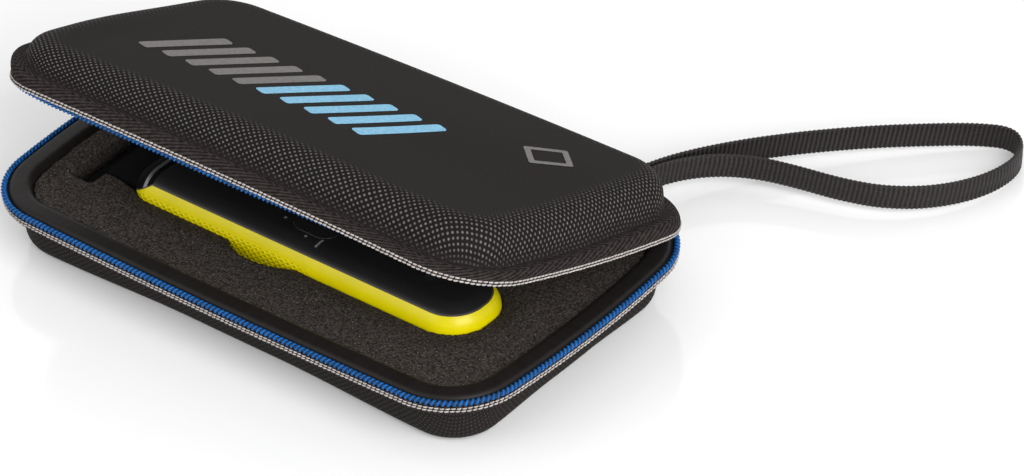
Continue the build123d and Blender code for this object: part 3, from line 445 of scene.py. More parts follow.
# ================================================================ outline of the case
def outline_loop(count):
    """The coil line as count + 1 points with outward normals and lengths along it; the last repeats the first.

    Each side is an arc of a large circle and each corner an arc of CORNER's radius that touches both. A point
    with normal n at an arc of centre c and radius r is c + r n, so an outline further in is c + (r - inset) n."""
    short_r = ((HALF_WIDTH - LONG_BULGE) ** 2 + SHORT_BULGE ** 2) / (2 * SHORT_BULGE)
    long_r = ((HALF_LENGTH - SHORT_BULGE) ** 2 + LONG_BULGE ** 2) / (2 * LONG_BULGE)
    short_c = np.array([HALF_LENGTH - short_r, 0.0])
    long_c = np.array([0.0, HALF_WIDTH - long_r])
    a, b = short_r - CORNER, long_r - CORNER
    across = long_c - short_c
    gap = np.linalg.norm(across)
    along = (a * a - b * b + gap * gap) / (2 * gap)
    side = np.sqrt(a * a - along * along)
    way = across / gap
    centre = short_c + along * way + side * np.array([-way[1], way[0]])
    if centre[0] < 0 or centre[1] < 0:
        centre = short_c + along * way - side * np.array([-way[1], way[0]])
    turn_1 = np.arctan2(*(centre - short_c)[::-1])
    turn_2 = np.arctan2(*(centre - long_c)[::-1])

    fine = np.linspace(0, 2 * np.pi, 14401)
    quarter = fine % np.pi
    folded = np.where(quarter > np.pi / 2, np.pi - quarter, quarter)
    normal = np.stack([np.cos(folded), np.sin(folded)], 1)
    part = np.digitize(folded, [turn_1, turn_2])
    centres = np.array([short_c, centre, long_c])[part]
    radii = np.array([short_r, CORNER, long_r])[part]
    sign = np.stack([np.sign(np.cos(fine)), np.sign(np.sin(fine))], 1)
    sign[sign == 0] = 1
    points = (centres + radii[:, None] * normal) * sign
    place, wanted = even_line(points, count + 1)
    turn = np.interp(wanted, lengths_along(points), fine)
    place[-1] = place[0]
    normals = np.stack([np.cos(turn), np.sin(turn)], 1)
    return place, normals, wanted


RING = outline_loop(720)
HALF_RING = outline_loop(360)


def inset_outline(insets, loop=RING):
    """The outline at each of these insets; over DEEPEST it shrinks towards the middle."""
    place, normal, _ = loop
    insets = insets[:, None, None]
    shrink = 1 - np.clip((insets - DEEPEST) / (HALF_WIDTH - DEEPEST), 0, 1)
    return (place[None] - np.minimum(insets, DEEPEST) * normal[None]) * shrink


def ring_rows(profile, loop=RING, climbs=None):
    """Rows of points on outlines at a profile's insets and heights.

    climbs holds, for each row, how much of the roof's climb towards +X it takes."""
    flat = inset_outline(profile[:, 0], loop)
    z = np.repeat(profile[:, 1:], flat.shape[1], 1)
    if climbs is not None:
        z = z + climbs[:, None] * LID_CLIMB * flat[:, :, 0] / HALF_LENGTH
    return np.concatenate([flat, z[..., None]], 2)


def arc(inset, height, radius, start, end, steps=8):
    """Points of an arc in a profile: degrees from +inset towards +height."""
    turn = np.radians(np.linspace(start, end, steps + 1))
    return np.stack([inset + radius * np.cos(turn), height + radius * np.sin(turn)], 1)


def run(*corners, step=1.0 * MM):
    """A profile through these corners, cut into steps of at most the given length."""
    points = [np.array(corners[0], float)]
    for corner in corners[1:]:
        corner = np.array(corner, float)
        parts = max(1, int(np.ceil(np.linalg.norm(corner - points[-1]) / step)))
        start = points[-1]
        points += [start + (corner - start) * k / parts for k in range(1, parts + 1)]
    return np.array(points)


def joined(*parts):
    """Profiles end to end, without repeated points."""
    points = np.concatenate([np.atleast_2d(part) for part in parts])
    keep = np.concatenate([[True], np.linalg.norm(np.diff(points, axis=0), axis=1) > 1e-6])
    return points[keep]


def moved_in(profile, depth):
    """A profile moved sideways by depth, to the left of its direction; its ends keep their places along it."""
    step = unit(np.gradient(profile, axis=0))
    return profile + depth * np.stack([-step[:, 1], step[:, 0]], 1)


# ================================================================ meshes
def add_object(name, data):
    """An object that is linked to the scene."""
    made = bpy.data.objects.new(name, data)
    bpy.context.scene.collection.objects.link(made)
    return made


def new_mesh(name, points, faces):
    mesh = bpy.data.meshes.new(name)
    mesh.from_pydata(points.reshape(-1, 3).tolist(), [], faces.tolist())
    return mesh


def grid_object(name, rows, material, uv=None, values=None, closed=False, smooth=40.0):
    """A mesh from a grid of points, with UV in metres and one value per point as the stretch attribute.

    closed joins the last row to the first. Points that coincide are merged, so seams and poles are shut, and
    faces are turned outward."""
    height, width = rows.shape[:2]
    index = np.arange(height * width).reshape(height, width)
    if closed:
        index = np.vstack([index, index[:1]])
    quads = np.stack([index[:-1, :-1], index[:-1, 1:], index[1:, 1:], index[1:, :-1]], -1).reshape(-1, 4)
    mesh = new_mesh(name, rows, quads)
    if uv is not None:
        cloth = mesh.uv_layers.new(name="cloth")
        cloth.data.foreach_set("uv", uv.reshape(-1, 2)[quads.ravel()].astype(np.float32).ravel())
    if values is not None:
        layer = mesh.attributes.new("stretch_and_painted_light", "FLOAT", "POINT")
        layer.data.foreach_set("value", values.astype(np.float32).ravel())
    return finish_mesh(name, mesh, material, smooth)


def finish_mesh(name, mesh, material, smooth=40.0, merge=True):
    """Merges coinciding points, turns faces outward, smooths and links the mesh as an object."""
    work = bmesh.new()
    work.from_mesh(mesh)
    if merge:
        bmesh.ops.remove_doubles(work, verts=work.verts, dist=2e-6)
        bmesh.ops.dissolve_degenerate(work, edges=work.edges, dist=1e-6)
    bmesh.ops.recalc_face_normals(work, faces=work.faces)
    work.to_mesh(mesh)
    work.free()
    mesh.shade_smooth()
    mesh.set_sharp_from_angle(angle=np.radians(smooth))
    mesh.materials.append(MATERIALS[material])
    return add_object(name, mesh)


def scatter(name, template, faces, origins, axes, material, smooth=60.0):
    """Copies one small mesh of quads to many places: axes holds, for each, the three directions of its frame."""
    points = origins[:, None, :] + np.einsum("vk,nkc->nvc", template, axes)
    shift = (np.arange(len(origins)) * len(template))[:, None, None]
    all_faces = (np.array(faces)[None] + shift).reshape(-1, 4)
    return finish_mesh(name, new_mesh(name, points, all_faces), material, smooth, merge=False)


def smooth_step(value, low, high):
    """0 below low, 1 above high and 3 t^2 - 2 t^3 between."""
    t = np.clip((np.asarray(value) - low) / (high - low), 0, 1)
    return t * t * (3 - 2 * t)


def settled(points):
    """The shut lid as its soft shell has settled: front right sunk, front left raised, left flange drawn in.

    With w from 0 at the flange to 1 at the dome, the front right sinks by LID_SINK times w, the front left rises
    by as much, a tenth of it at the flange, and the flange's left end comes in by LID_DRAW."""
    x, y, z = points[..., 0], points[..., 1], points[..., 2]
    dome = np.clip((z - COIL_Z - 2.5 * MM) / (3.5 * MM), 0, 1)
    front = smooth_step(-y, -25 * MM, 20 * MM)
    left = front * smooth_step(-x, 68 * MM, 92 * MM)
    right = front * smooth_step(x, -10 * MM, 60 * MM)
    flange = np.clip((LID_CREASE - z) / (3 * MM), 0, 1)
    return np.stack([x + LID_DRAW * smooth_step(-x, 70 * MM, 96 * MM) * flange, y,
                     z + LID_SINK * (left * (0.1 + 0.9 * dome) - right * dome)], -1)


def lifted(points):
    """Points of the shut lid, settled, with the front edge's arch, turned about the hinge to the resting angle."""
    points = settled(np.asarray(points, float))
    x, y, z = points[..., 0], points[..., 1], points[..., 2]
    reach = np.clip((HINGE[1] - y) / (HINGE[1] + HALF_WIDTH), 0, 1)
    z = z + LID_ARCH * (1 - (x / HALF_LENGTH) ** 2) * reach
    y, z = y - HINGE[1], z - HINGE[2]
    cos, sin = np.cos(LID_ANGLE), np.sin(LID_ANGLE)
    return np.stack([x, HINGE[1] + y * cos + z * sin, HINGE[2] - y * sin + z * cos], -1)


def waisted(points):
    """Points of the tray with its walls drawn in towards the floor, most at the middle of each side."""
    x, y, z = points[..., 0], points[..., 1], points[..., 2]
    depth = np.clip((TRAY_CREASE - z) / TRAY_CREASE, 0, 1)
    long_share = depth * (1 - smooth_step(np.abs(x), 15 * MM, 80 * MM)) * WAIST_LONG / HALF_WIDTH
    short_share = depth * (1 - smooth_step(np.abs(y), 8 * MM, 44 * MM)) * WAIST_SHORT / HALF_LENGTH
    drawn = narrowed(points)[..., 0] - x
    foot = smooth_step(z, TRAY_CREASE - 3 * MM, TRAY_CREASE + 1 * MM)
    return np.stack([x * (1 - short_share) + drawn * foot, y * (1 - long_share), z], -1)


def narrowed(points):
    """Points of the tray with its left end drawn in by LEFT_DRAW, in step with the lid's flange over it."""
    points = np.array(points, float)
    points[..., 0] += LEFT_DRAW * smooth_step(-points[..., 0], 60 * MM, 96 * MM)
    return points


def finished(obj, body, slot, *nodes):
    """The object rides a body and stands for CAD nodes, which it hides; the slot is not used."""
    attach(obj, body)
    if nodes:
        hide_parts(*nodes)
    return obj


def piece(name, rows, material, body, slot, *nodes, **mesh):
    """A grid that is built and finished in one step."""
    return finished(grid_object(name, rows, material, **mesh), body, slot, *nodes)


# ================================================================ profiles
def tape_profile(bottom, crease, sign):
    """A flange's woven tape, from the coil's side round the outer edge to the crease; sign is +1 on the lid."""
    outer = -FLANGE_PROUD
    edge = arc(outer + FLANGE_ROUND, crease - sign * FLANGE_ROUND, FLANGE_ROUND, 180, 180 - sign * 90)
    face = run((outer + 0.4 * MM, bottom), (outer, bottom + sign * 0.3 * MM), edge[0], step=0.8 * MM)
    return joined(run((TAPE_INNER, bottom), face[0]), face, edge,
                  run(edge[-1], (CREASE_INSET + 0.5 * MM, crease - sign * 0.2 * MM)))


def lid_profile(depth=0.0):
    """The lid's woven dome from crease to middle, how much of the climb each row takes, and its shoulder's inset.

    The wall rolls out of the crease, leans in a little, turns over the shoulder and runs on to the middle."""
    wall_top = LID_TOP - SHOULDER
    shoulder_inset = CREASE_INSET + WALL_LEAN + SHOULDER
    wall = joined(arc(CREASE_INSET - WALL_ROLL + depth, LID_CREASE + 0.7 * MM, WALL_ROLL, -60, 0, 4),
                  run((CREASE_INSET + depth, LID_CREASE + WALL_ROLL),
                      (CREASE_INSET + WALL_LEAN + depth, wall_top)))
    shoulder = arc(shoulder_inset, wall_top, SHOULDER - depth, 180, 90, 14)
    near = run(shoulder[-1], (shoulder_inset + 9 * MM, shoulder[-1][1]), step=0.8 * MM)
    roof = run(near[-1], (HALF_WIDTH, near[-1][1]), step=2.0 * MM)
    profile = joined(wall, shoulder, near, roof)
    rise = np.clip((profile[:, 1] - LID_CREASE) / (LID_TOP - LID_CREASE), 0, 1)
    return profile, rise, shoulder_inset


def cover_coordinates(profile, reference):
    """Flat cloth coordinates of a cover: beyond the reference inset the cloth goes straight on down the wall."""
    lengths = lengths_along(profile)
    beyond = lengths[np.argmin(np.abs(profile[:, 0] - reference))] - lengths
    return inset_outline(np.where(profile[:, 0] < reference, reference - beyond, profile[:, 0])), beyond


# ================================================================ base pieces
def tray_walls(depth, top):
    """Profile of the tray's shell at a depth under its skin: down the wall, round the foot to the middle."""
    return joined(run((CREASE_INSET + depth, top), (FOOT_INSET - FOOT + depth, FOOT), step=1.2 * MM),
                  arc(FOOT_INSET, FOOT, FOOT - depth, 180, 270, 10),
                  run((FOOT_INSET, depth), (HALF_WIDTH, depth), step=3.0 * MM))


def build_tray():
    """The tray's woven cover, one sheet that falls from the crease, turns round the foot and closes under it;
    the moulded board with its rolled flange, the brushed lining and the foam's backing sheet inside it."""
    outer = tray_walls(0.0, TRAY_CREASE + 0.3 * MM)
    inner = tray_walls(CLOTH, TRAY_CREASE + 0.3 * MM)
    cloth = [cover_coordinates(side, FOOT_INSET)[0] for side in (inner[::-1], outer)]
    rows = waisted(ring_rows(np.concatenate([inner[::-1], outer])))
    piece("tray_woven_cover", rows, "woven_polyester", "base", "woven_cover", "base_outer_fabric",
          uv=np.concatenate(cloth), values=np.full(rows.shape[:2], 0.2))

    crease = TRAY_CREASE + 0.7 * MM
    flange = run((0.6 * MM, FLANGE_TOP - 0.05 * MM), (0.6 * MM, crease + 2.6 * MM), (1.4 * MM, crease + 0.9 * MM),
                 (3.4 * MM, crease), (CREASE_INSET + CLOTH + 0.05 * MM, crease))
    hollow = tray_walls(CLOTH + BOARD, FLANGE_TOP - 0.05 * MM)
    board = np.concatenate([hollow[::-1], joined(flange, tray_walls(CLOTH + 0.05 * MM, crease))])
    lining = np.concatenate([tray_walls(TRAY_INSIDE, FLANGE_TOP)[::-1],
                             tray_walls(CLOTH + BOARD + 0.05 * MM, FLANGE_TOP)])
    inset = HALF_LENGTH - SHEET_HIGH[0]
    sheet = run((HALF_WIDTH, SHEET_LOW[2]), (inset, SHEET_LOW[2]), (inset, SHEET_HIGH[2]),
                (HALF_WIDTH, SHEET_HIGH[2]), step=6 * MM)
    for name, profile, material, slot, node in (
            ("tray_board", board, "eva_board", "eva_board", "base_shell"),
            ("tray_lining", lining, "brushed_nylon", "brushed_lining", "base_lining"),
            ("foam_backing", sheet, "closed_cell_sheet", "foam_sheet", "foam_backing_sheet")):
        piece(name, waisted(ring_rows(profile, HALF_RING)), material, "base", slot, node)


def build_tape(name, body, node, profile, inward, shape):
    """A flange's tape: a thin band round the whole outline, with cloth coordinates along and across it."""
    rows = shape(ring_rows(np.concatenate([profile, moved_in(profile, inward)[::-1]])))
    lengths = lengths_along(profile)
    across = np.concatenate([lengths, lengths[::-1]])
    piece(name, rows, "herringbone_tape", body, "zipper_tape", node, uv=grid_coordinates(RING[2], across),
          closed=True)


def coil_path(step_count):
    """The fine coil line, its length, and where on it the coil's part starts and stops round the front."""
    place, normal, lengths = outline_loop(step_count)
    hinge = np.nonzero((np.abs(place[:, 0]) < COIL_GAP_HALF) & (place[:, 1] > 0))[0]
    return (place, normal, lengths), lengths[hinge[-1]], lengths[hinge[0]] + lengths[-1]


def at_length(where, loop):
    """Places and normals on the coil line at lengths that may run past its end."""
    place, normal, lengths = loop
    where = np.mod(where, lengths[-1])
    return read_at(where, lengths, place), unit(read_at(where, lengths, normal))


def tube_rows(centres, first, second, radius, sides):
    """Rows of points round a line, with both ends drawn to a point."""
    angle = np.linspace(0, 2 * np.pi, sides + 1)
    ring = first[:, None] * np.cos(angle)[None, :, None] + second[:, None] * np.sin(angle)[None, :, None]
    rows = centres[:, None] + radius * ring
    return np.concatenate([centres[:1, None].repeat(sides + 1, 1), rows, centres[-1:, None].repeat(sides + 1, 1)])


def coil_rows(height, inset, tuck, first_turn, helix, wire, core):
    """Rows of points round a coil's wire and round its core, over the part of the rim that has a coil.

    The wire's middle runs along a helix: with phase a = first_turn + 2 pi s / pitch it is at
    P(s) + r (cos a n + sin a z), where r is helix less a dip on the side away from the case, along which the
    coil is sewn down. Each row is a small circle round it, square to the helix's direction. Towards the ends of
    the case the coil goes in by tuck and up by 1.6 times as much."""
    pitch = sizes().coil_pitch
    loop, start, stop = coil_path(7200)
    turns = int((stop - start - 2 * MM) / pitch)
    s = np.linspace(0, turns * pitch, turns * 12 + 1)
    phase = (first_turn + 2 * np.pi * s / pitch)[:, None]
    point, out = at_length(start + MM + s, loop)
    tucked = np.maximum(smooth_step(point[:, :1], 0, 60 * MM), smooth_step(-point[:, :1], 60 * MM, 85 * MM))
    inset, height = inset + tuck * tucked, height + 1.6 * tuck * tucked
    away = np.mod(phase - SEWN_SIDE + np.pi, 2 * np.pi) - np.pi
    helix = helix * (1 - SEWN_DIP * np.exp(-(away / SEWN_SPREAD) ** 2))
    level = np.zeros((len(s), 1))
    along = np.concatenate([-out[:, 1:], out[:, :1], level], 1)
    radial = np.concatenate([out * np.cos(phase), np.sin(phase)], 1)
    middle = np.concatenate([point - inset * out, level + height], 1)
    turning = np.concatenate([out * -np.sin(phase), np.cos(phase)], 1)
    direction = unit(helix * turning + pitch / (2 * np.pi) * along)
    wire_rows = tube_rows(middle + helix * radial, radial, np.cross(direction, radial), wire, 6)
    out3 = np.concatenate([out, level], 1)[::12]
    upward = np.tile([0, 0, 1.0], (len(out3), 1))
    return wire_rows, tube_rows(middle[::12], out3, upward, core, 8)


def build_coil(prefix, body, node, height, inset, tuck, size, first_turn, shape):
    """One side of the zipper: a coil of this outer radius and the cord inside it."""
    rows = coil_rows(height, inset, tuck, first_turn, COIL_HELIX * size, COIL_WIRE * size,
                     COIL_CORD * size)
    for part, material, points in zip(("turns", "cord"), ("coil_nylon", "coil_cord_painted_shade"), rows):
        piece(f"{prefix}_coil_{part}", shape(points), material, body, "zipper_coil",
              *([node] if part == "turns" else []), smooth=80)


def dash(length, radius):
    """A stitch: a capsule along its first axis, flat where it dives into the cloth."""
    stations = np.array([-0.5, -0.42, -0.2, 0.2, 0.42, 0.5]) * length
    swell = np.array([0.25, 0.75, 1.0, 1.0, 0.75, 0.25]) * radius
    dip = np.array([-0.9, -0.35, 0.0, 0.0, -0.35, -0.9]) * radius
    angle = np.linspace(0, 2 * np.pi, 7)[:-1]
    rings = [[(x, r * np.cos(a), r * np.sin(a) * 0.85 + d) for a in angle]
             for x, r, d in zip(stations, swell, dip)]
    points = np.array(rings).reshape(-1, 3)
    faces = [(k * 6 + j, k * 6 + (j + 1) % 6, (k + 1) * 6 + (j + 1) % 6, (k + 1) * 6 + j)
             for k in range(5) for j in range(6)]
    caps = [(0, 1, 2, 3), (3, 4, 5, 0), (30, 31, 32, 33), (33, 34, 35, 30)]
    return points, faces + caps


def build_stitches(name, body, node, heights, shape):
    """Two rows of seam stitches, one stitch of each row per coil turn, laid on the tape's face.

    The rows stop at the hinge cloth, which covers them."""
    size = sizes()
    loop = outline_loop(7200)
    count = int(loop[2][-1] / size.coil_pitch)
    s = np.arange(count) * loop[2][-1] / count
    place = at_length(s, loop)[0]
    s = s[(np.abs(place[:, 0]) > HINGE_CLOTH_HALF) | (place[:, 1] < 0)]
    count = len(s)
    level = np.zeros((count, 1))
    origins, axes = [], []
    for row, height in enumerate(heights):
        point, out = at_length(s + 0.35 * MM * row, loop)
        slant = 0.10 + 0.03 * np.sin(np.arange(count) * 2.3)
        first = unit(np.concatenate([-out[:, 1:], out[:, :1], slant[:, None]], 1))
        third = np.concatenate([out, level], 1)
        wobble = 0.04 * MM * np.sin(np.arange(count) * 1.7 + row)
        origins.append(np.concatenate([point - SEAM_INSET * out, (height + wobble)[:, None]], 1))
        axes.append(np.stack([first, np.cross(third, first), third], 1))
    origins, axes = np.concatenate(origins), np.concatenate(axes)
    reach = 0.1 * MM
    first = (shape(origins + axes[:, 0] * reach) - shape(origins)) / reach
    third = (shape(origins + axes[:, 2] * reach) - shape(origins)) / reach
    origins, axes = shape(origins), np.stack([first, np.cross(third, first), third], 1)
    points, faces = dash(size.stitch_length, STITCH_RADIUS)
    finished(scatter(name, points, faces, origins, axes, "seam_thread"), body, "seam_thread", node)


def build_tray_zipper():
    """The tray's tape, coil and seam round the rim, and the padded lip inside them: a rounded bolster."""
    build_tape("tray_tape_band", "base", "base_zipper_tape", tape_profile(FLANGE_TOP, TRAY_CREASE, -1), CLOTH,
               narrowed)
    build_coil("tray", "base", "base_zipper_coil", COIL_Z - 0.1 * MM, 0.0, 0.0, 0.95 * MM, 0.0, narrowed)
    build_stitches("tray_seam_stitches", "base", "base_stitch_rows",
                   (COIL_Z - 2.65 * MM, COIL_Z - 1.75 * MM), narrowed)
    profile = joined(run((1.35 * MM, FLANGE_TOP + 0.02 * MM), (1.5 * MM, FLANGE_TOP + 0.3 * MM)),
                     arc(3.1 * MM, FLANGE_TOP + 0.15 * MM, 1.6 * MM, 170, 90, 6),
                     arc(6.3 * MM, FLANGE_TOP - 0.85 * MM, 2.5 * MM, 95, 12, 8),
                     run((8.85 * MM, FLANGE_TOP - 0.6 * MM), (8.6 * MM, FLANGE_TOP - 1.7 * MM)),
                     run((8.3 * MM, FLANGE_TOP - 1.5 * MM), (1.9 * MM, FLANGE_TOP - 0.2 * MM), step=2 * MM))
    build_lip("tray_padded_lip", "base", "base_rim_lip", profile, narrowed)


def build_lip(name, body, node, profile, shape):
    """A padded lip round the whole outline, from its profile."""
    lip = piece(name, shape(ring_rows(profile)), "lip_knit", body, "padded_lip", node,
                uv=grid_coordinates(RING[2], lengths_along(profile)), closed=True)


FOAM_VOXEL = 0.85 * MM
FOAM_PIT = 0.035 * MM


def build_foam():
    """The foam block keeps the cut wells; its edges are rounded and its skin is pitted."""
    foam = add_object("foam_block", frame["nodes"]["foam_insert"].data.copy())
    remesh = foam.modifiers.new("even", "REMESH")
    remesh.mode = "VOXEL"
    remesh.voxel_size = FOAM_VOXEL
    soften = foam.modifiers.new("soften", "SMOOTH")
    soften.factor = 0.5
    soften.iterations = 2
    bpy.context.view_layer.update()
    shaped = bpy.data.meshes.new_from_object(foam.evaluated_get(bpy.context.evaluated_depsgraph_get()))
    foam.modifiers.clear()
    foam.data = shaped
    points, normals = np.empty((2, len(shaped.vertices), 3))
    shaped.vertices.foreach_get("co", points.ravel())
    shaped.vertex_normals.foreach_get("vector", normals.ravel())
    pits = np.random.default_rng(7).normal(0, FOAM_PIT, (len(points), 1))
    points += normals * pits
    middle, half = (HANDLE_HIGH + HANDLE_LOW) / 2, (HANDLE_HIGH - HANDLE_LOW) / 2
    beside = np.linalg.norm(np.maximum(np.abs(points[:, :2] - middle[:2]) - half[:2] + 10 * MM, 0), axis=1)
    top = smooth_step(points[:, 2], 12 * MM, 17 * MM)
    points[:, 2] -= WELL_SAG * top * (1 - smooth_step(beside, 10 * MM, 17 * MM))
    shaped.vertices.foreach_set("co", waisted(points).ravel())
    shaped.update()
    shaped.shade_smooth()
    shaped.materials.clear()
    shaped.materials.append(MATERIALS["open_cell_foam"])
    finished(foam, "base", "foam", "foam_insert")


# ================================================================ strap, hinge cloth, metal parts
STRAP_STEPS = [(0.7, 0.0), (1.4, 9.5), (3.7, 19.5), (8.4, 29.2), (15.6, 37.2), (25.2, 42.9), (36.5, 46.3),
               (49.2, 49.1), (61.7, 53.9), (72.6, 62.9), (80.2, 75.2), (83.2, 87.8), (81.4, 98.6), (73.6, 104.6),
               (63.4, 98.6), (52.8, 89.2), (40.0, 76.9), (27.0, 62.3), (15.4, 46.9), (6.2, 31.6), (1.1, 18.9),
               (-0.6, 9.0), (-0.7, 0.0)]
STRAP_FALL = 0.0465              # how far the strap's plane falls for each length outward
STRAP_HALF_WIDTH = 4.1 * MM
STRAP_HALF_THICK = 0.55 * MM
STRAP_SIDES = 33                 # points round the strap


def strap_line():
    """The strap's middle line, read from a curve through the route's points, in one plane that falls outward."""
    curve = bpy.data.curves.new("strap_route", "CURVE")
    curve.dimensions = "3D"
    spline = curve.splines.new("NURBS")
    steps = np.array(STRAP_STEPS) * MM
    fall = STRAP_FALL * steps.sum(1) / np.sqrt(2)
    points = np.concatenate([steps + STRAP_EXIT[:2], (STRAP_EXIT[2] - fall)[:, None], np.ones((len(steps), 1))], 1)
    spline.points.add(len(points) - 1)
    spline.points.foreach_set("co", points.ravel())
    spline.order_u = 3
    spline.use_endpoint_u = True
    spline.resolution_u = 24
    route = add_object("strap_route", curve)
    bpy.context.view_layer.update()
    line = bpy.data.meshes.new_from_object(route.evaluated_get(bpy.context.evaluated_depsgraph_get()))
    read = np.empty(len(line.vertices) * 3)
    line.vertices.foreach_get("co", read)
    bpy.data.objects.remove(route)
    bpy.data.meshes.remove(line)
    return read.reshape(-1, 3)


def build_strap():
    """The wrist strap: a ribbed band on its edge, whose ribs stand out of both faces and scallop its edges.

    With an angle a round it, it reaches |cos a|^0.32 of its half width and |sin a|^0.6 of its half thickness."""
    line, lengths = even_line(strap_line(), 1400)
    plane = unit(np.array([STRAP_FALL, STRAP_FALL, np.sqrt(2.0)]))
    side = unit(np.cross(unit(np.gradient(line, axis=0)), plane))
    angle = np.linspace(0, 2 * np.pi, STRAP_SIDES)
    across = np.sign(np.cos(angle)) * np.abs(np.cos(angle)) ** 0.32
    thick = np.sign(np.sin(angle)) * np.abs(np.sin(angle)) ** 0.6
    phase = 2 * np.pi * (lengths[:, None] + RIB_SLANT * STRAP_HALF_WIDTH * across[None, :]) / sizes().strap_rib
    rib = 0.5 + 0.5 * np.cos(phase)
    height = STRAP_HALF_WIDTH * (1 - 0.05 * (1 - rib))
    depth = STRAP_HALF_THICK + 0.16 * MM * rib
    rows = (line[:, None] + plane[None, None] * (across[None, :] * height)[..., None]
            + side[:, None] * (thick[None, :] * depth)[..., None])
    rows = np.concatenate([line[:1, None].repeat(STRAP_SIDES, 1), rows,
                           line[-1:, None].repeat(STRAP_SIDES, 1)])
    girth = np.cumsum(np.concatenate([[0], np.hypot(np.diff(STRAP_HALF_WIDTH * across),
                                                    np.diff(STRAP_HALF_THICK * thick))]))
    long = np.concatenate([lengths[:1], lengths, lengths[-1:]])
    uv = np.stack(np.broadcast_arrays(long[:, None], girth[None, :]), -1)
    strap = piece("webbing_strap", rows, "webbing", "base", "webbing", "wrist_strap", uv=uv, smooth=70)
    dress("strap_anchor_tab", "strap_bartack")


def build_hinge_cloth():
    """The fabric hinge: one strip of cloth sewn to both flanges, bowed back a little over the fold line."""
    back = HALF_WIDTH + FLANGE_PROUD + 0.7 * MM
    fold = HINGE[1]
    low = run((back, FLANGE_TOP - 3.0 * MM), (back + 0.1 * MM, FLANGE_TOP - 0.4 * MM), step=0.4 * MM)
    shut = [(back, LID_FLANGE_BOTTOM + 3.0 * MM), (back + 0.1 * MM, LID_FLANGE_BOTTOM + 0.5 * MM)]
    high = lifted(np.array([(0.0, y, z) for y, z in shut]))[:, 1:]
    bridge = np.array([low[-1], (fold + 0.25 * MM, HINGE[2] - 0.5 * MM), (fold + 0.35 * MM, HINGE[2] + 0.1 * MM),
                       high[1], high[0]])
    line = joined(low, even_line(bridge, 14)[0])
    for _ in range(2):
        line[1:-1] = (line[:-2] + 2 * line[1:-1] + line[2:]) / 4
    thick = moved_in(line, -0.5 * MM)
    loop = np.concatenate([line, thick[::-1]])
    across = np.linspace(-HINGE_CLOTH_HALF, HINGE_CLOTH_HALF, 117)
    middle = np.concatenate([line + thick, (line + thick)[::-1]]) / 2
    rows, ends = (np.stack(np.broadcast_arrays(x[None, :], around[:, :1], around[:, 1:]), -1)
                  for x, around in ((across, loop), (across[[0, -1]], middle)))
    girth = lengths_along(line)
    uv = grid_coordinates(np.concatenate([across[:1], across, across[-1:]]), np.concatenate([girth, girth[::-1]]))
    cloth = grid_object("hinge_strip", np.concatenate([ends[:, :1], rows, ends[:, 1:]], 1), "hinge_cloth", uv=uv,
                        closed=True)
    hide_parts("base_hinge_cloth", "lid_hinge_cloth")
    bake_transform(cloth)


DRESSED = {
    "webbing_plain": ("strap_anchor_tab",),
    "seam_black": ("strap_bartack", "base_track_stops", "lid_track_stops"),
    "zinc_black": ("zipper_sliders", "left_zipper_pull", "right_zipper_pull"),
    "grip_elastomer": ("shaver_grip_shell",),
    "trim_grey": ("shaver_seam_trim",),
    "panel_gloss": ("shaver_front_panel",),
    "button_gloss": ("shaver_power_button",),
    "band_silver": ("shaver_neck_band",),
    "light_lens": ("shaver_charge_light",),
    "neck_black": ("shaver_neck", "shaver_charging_socket", "shaver_head_frame", "shaver_head_caps",
                   "shaver_switch"),
    "blade_steel": ("shaver_guard_plates", "shaver_cutter", "shaver_drive_shaft"),
    "motor_steel": ("shaver_motor",),
    "battery_wrap": ("shaver_battery",),
    "carrier_plastic": ("shaver_carrier",),
    "board_green": ("shaver_circuit_board",),
}


def dress(*names):
    """Gives CAD nodes their finishes; their meshes stay as they are."""
    for material, nodes in DRESSED.items():
        for name in set(nodes) & set(names):
            mesh = frame["nodes"][name].data
            mesh.materials.clear()
            mesh.materials.append(MATERIALS[material])


def build_metal():
    """Sliders, pulls and the stops at the track's ends keep their solid shapes; their edges are broken."""
    names = ("zipper_sliders", "left_zipper_pull", "right_zipper_pull", "base_track_stops", "lid_track_stops")
    dress(*names)
    for name in names:
        bevel = frame["nodes"][name].modifiers.new("edges", "BEVEL")
        bevel.width = 0.15 * MM
        bevel.segments = 2
        bevel.limit_method = "ANGLE"
        bevel.angle_limit = np.radians(40)


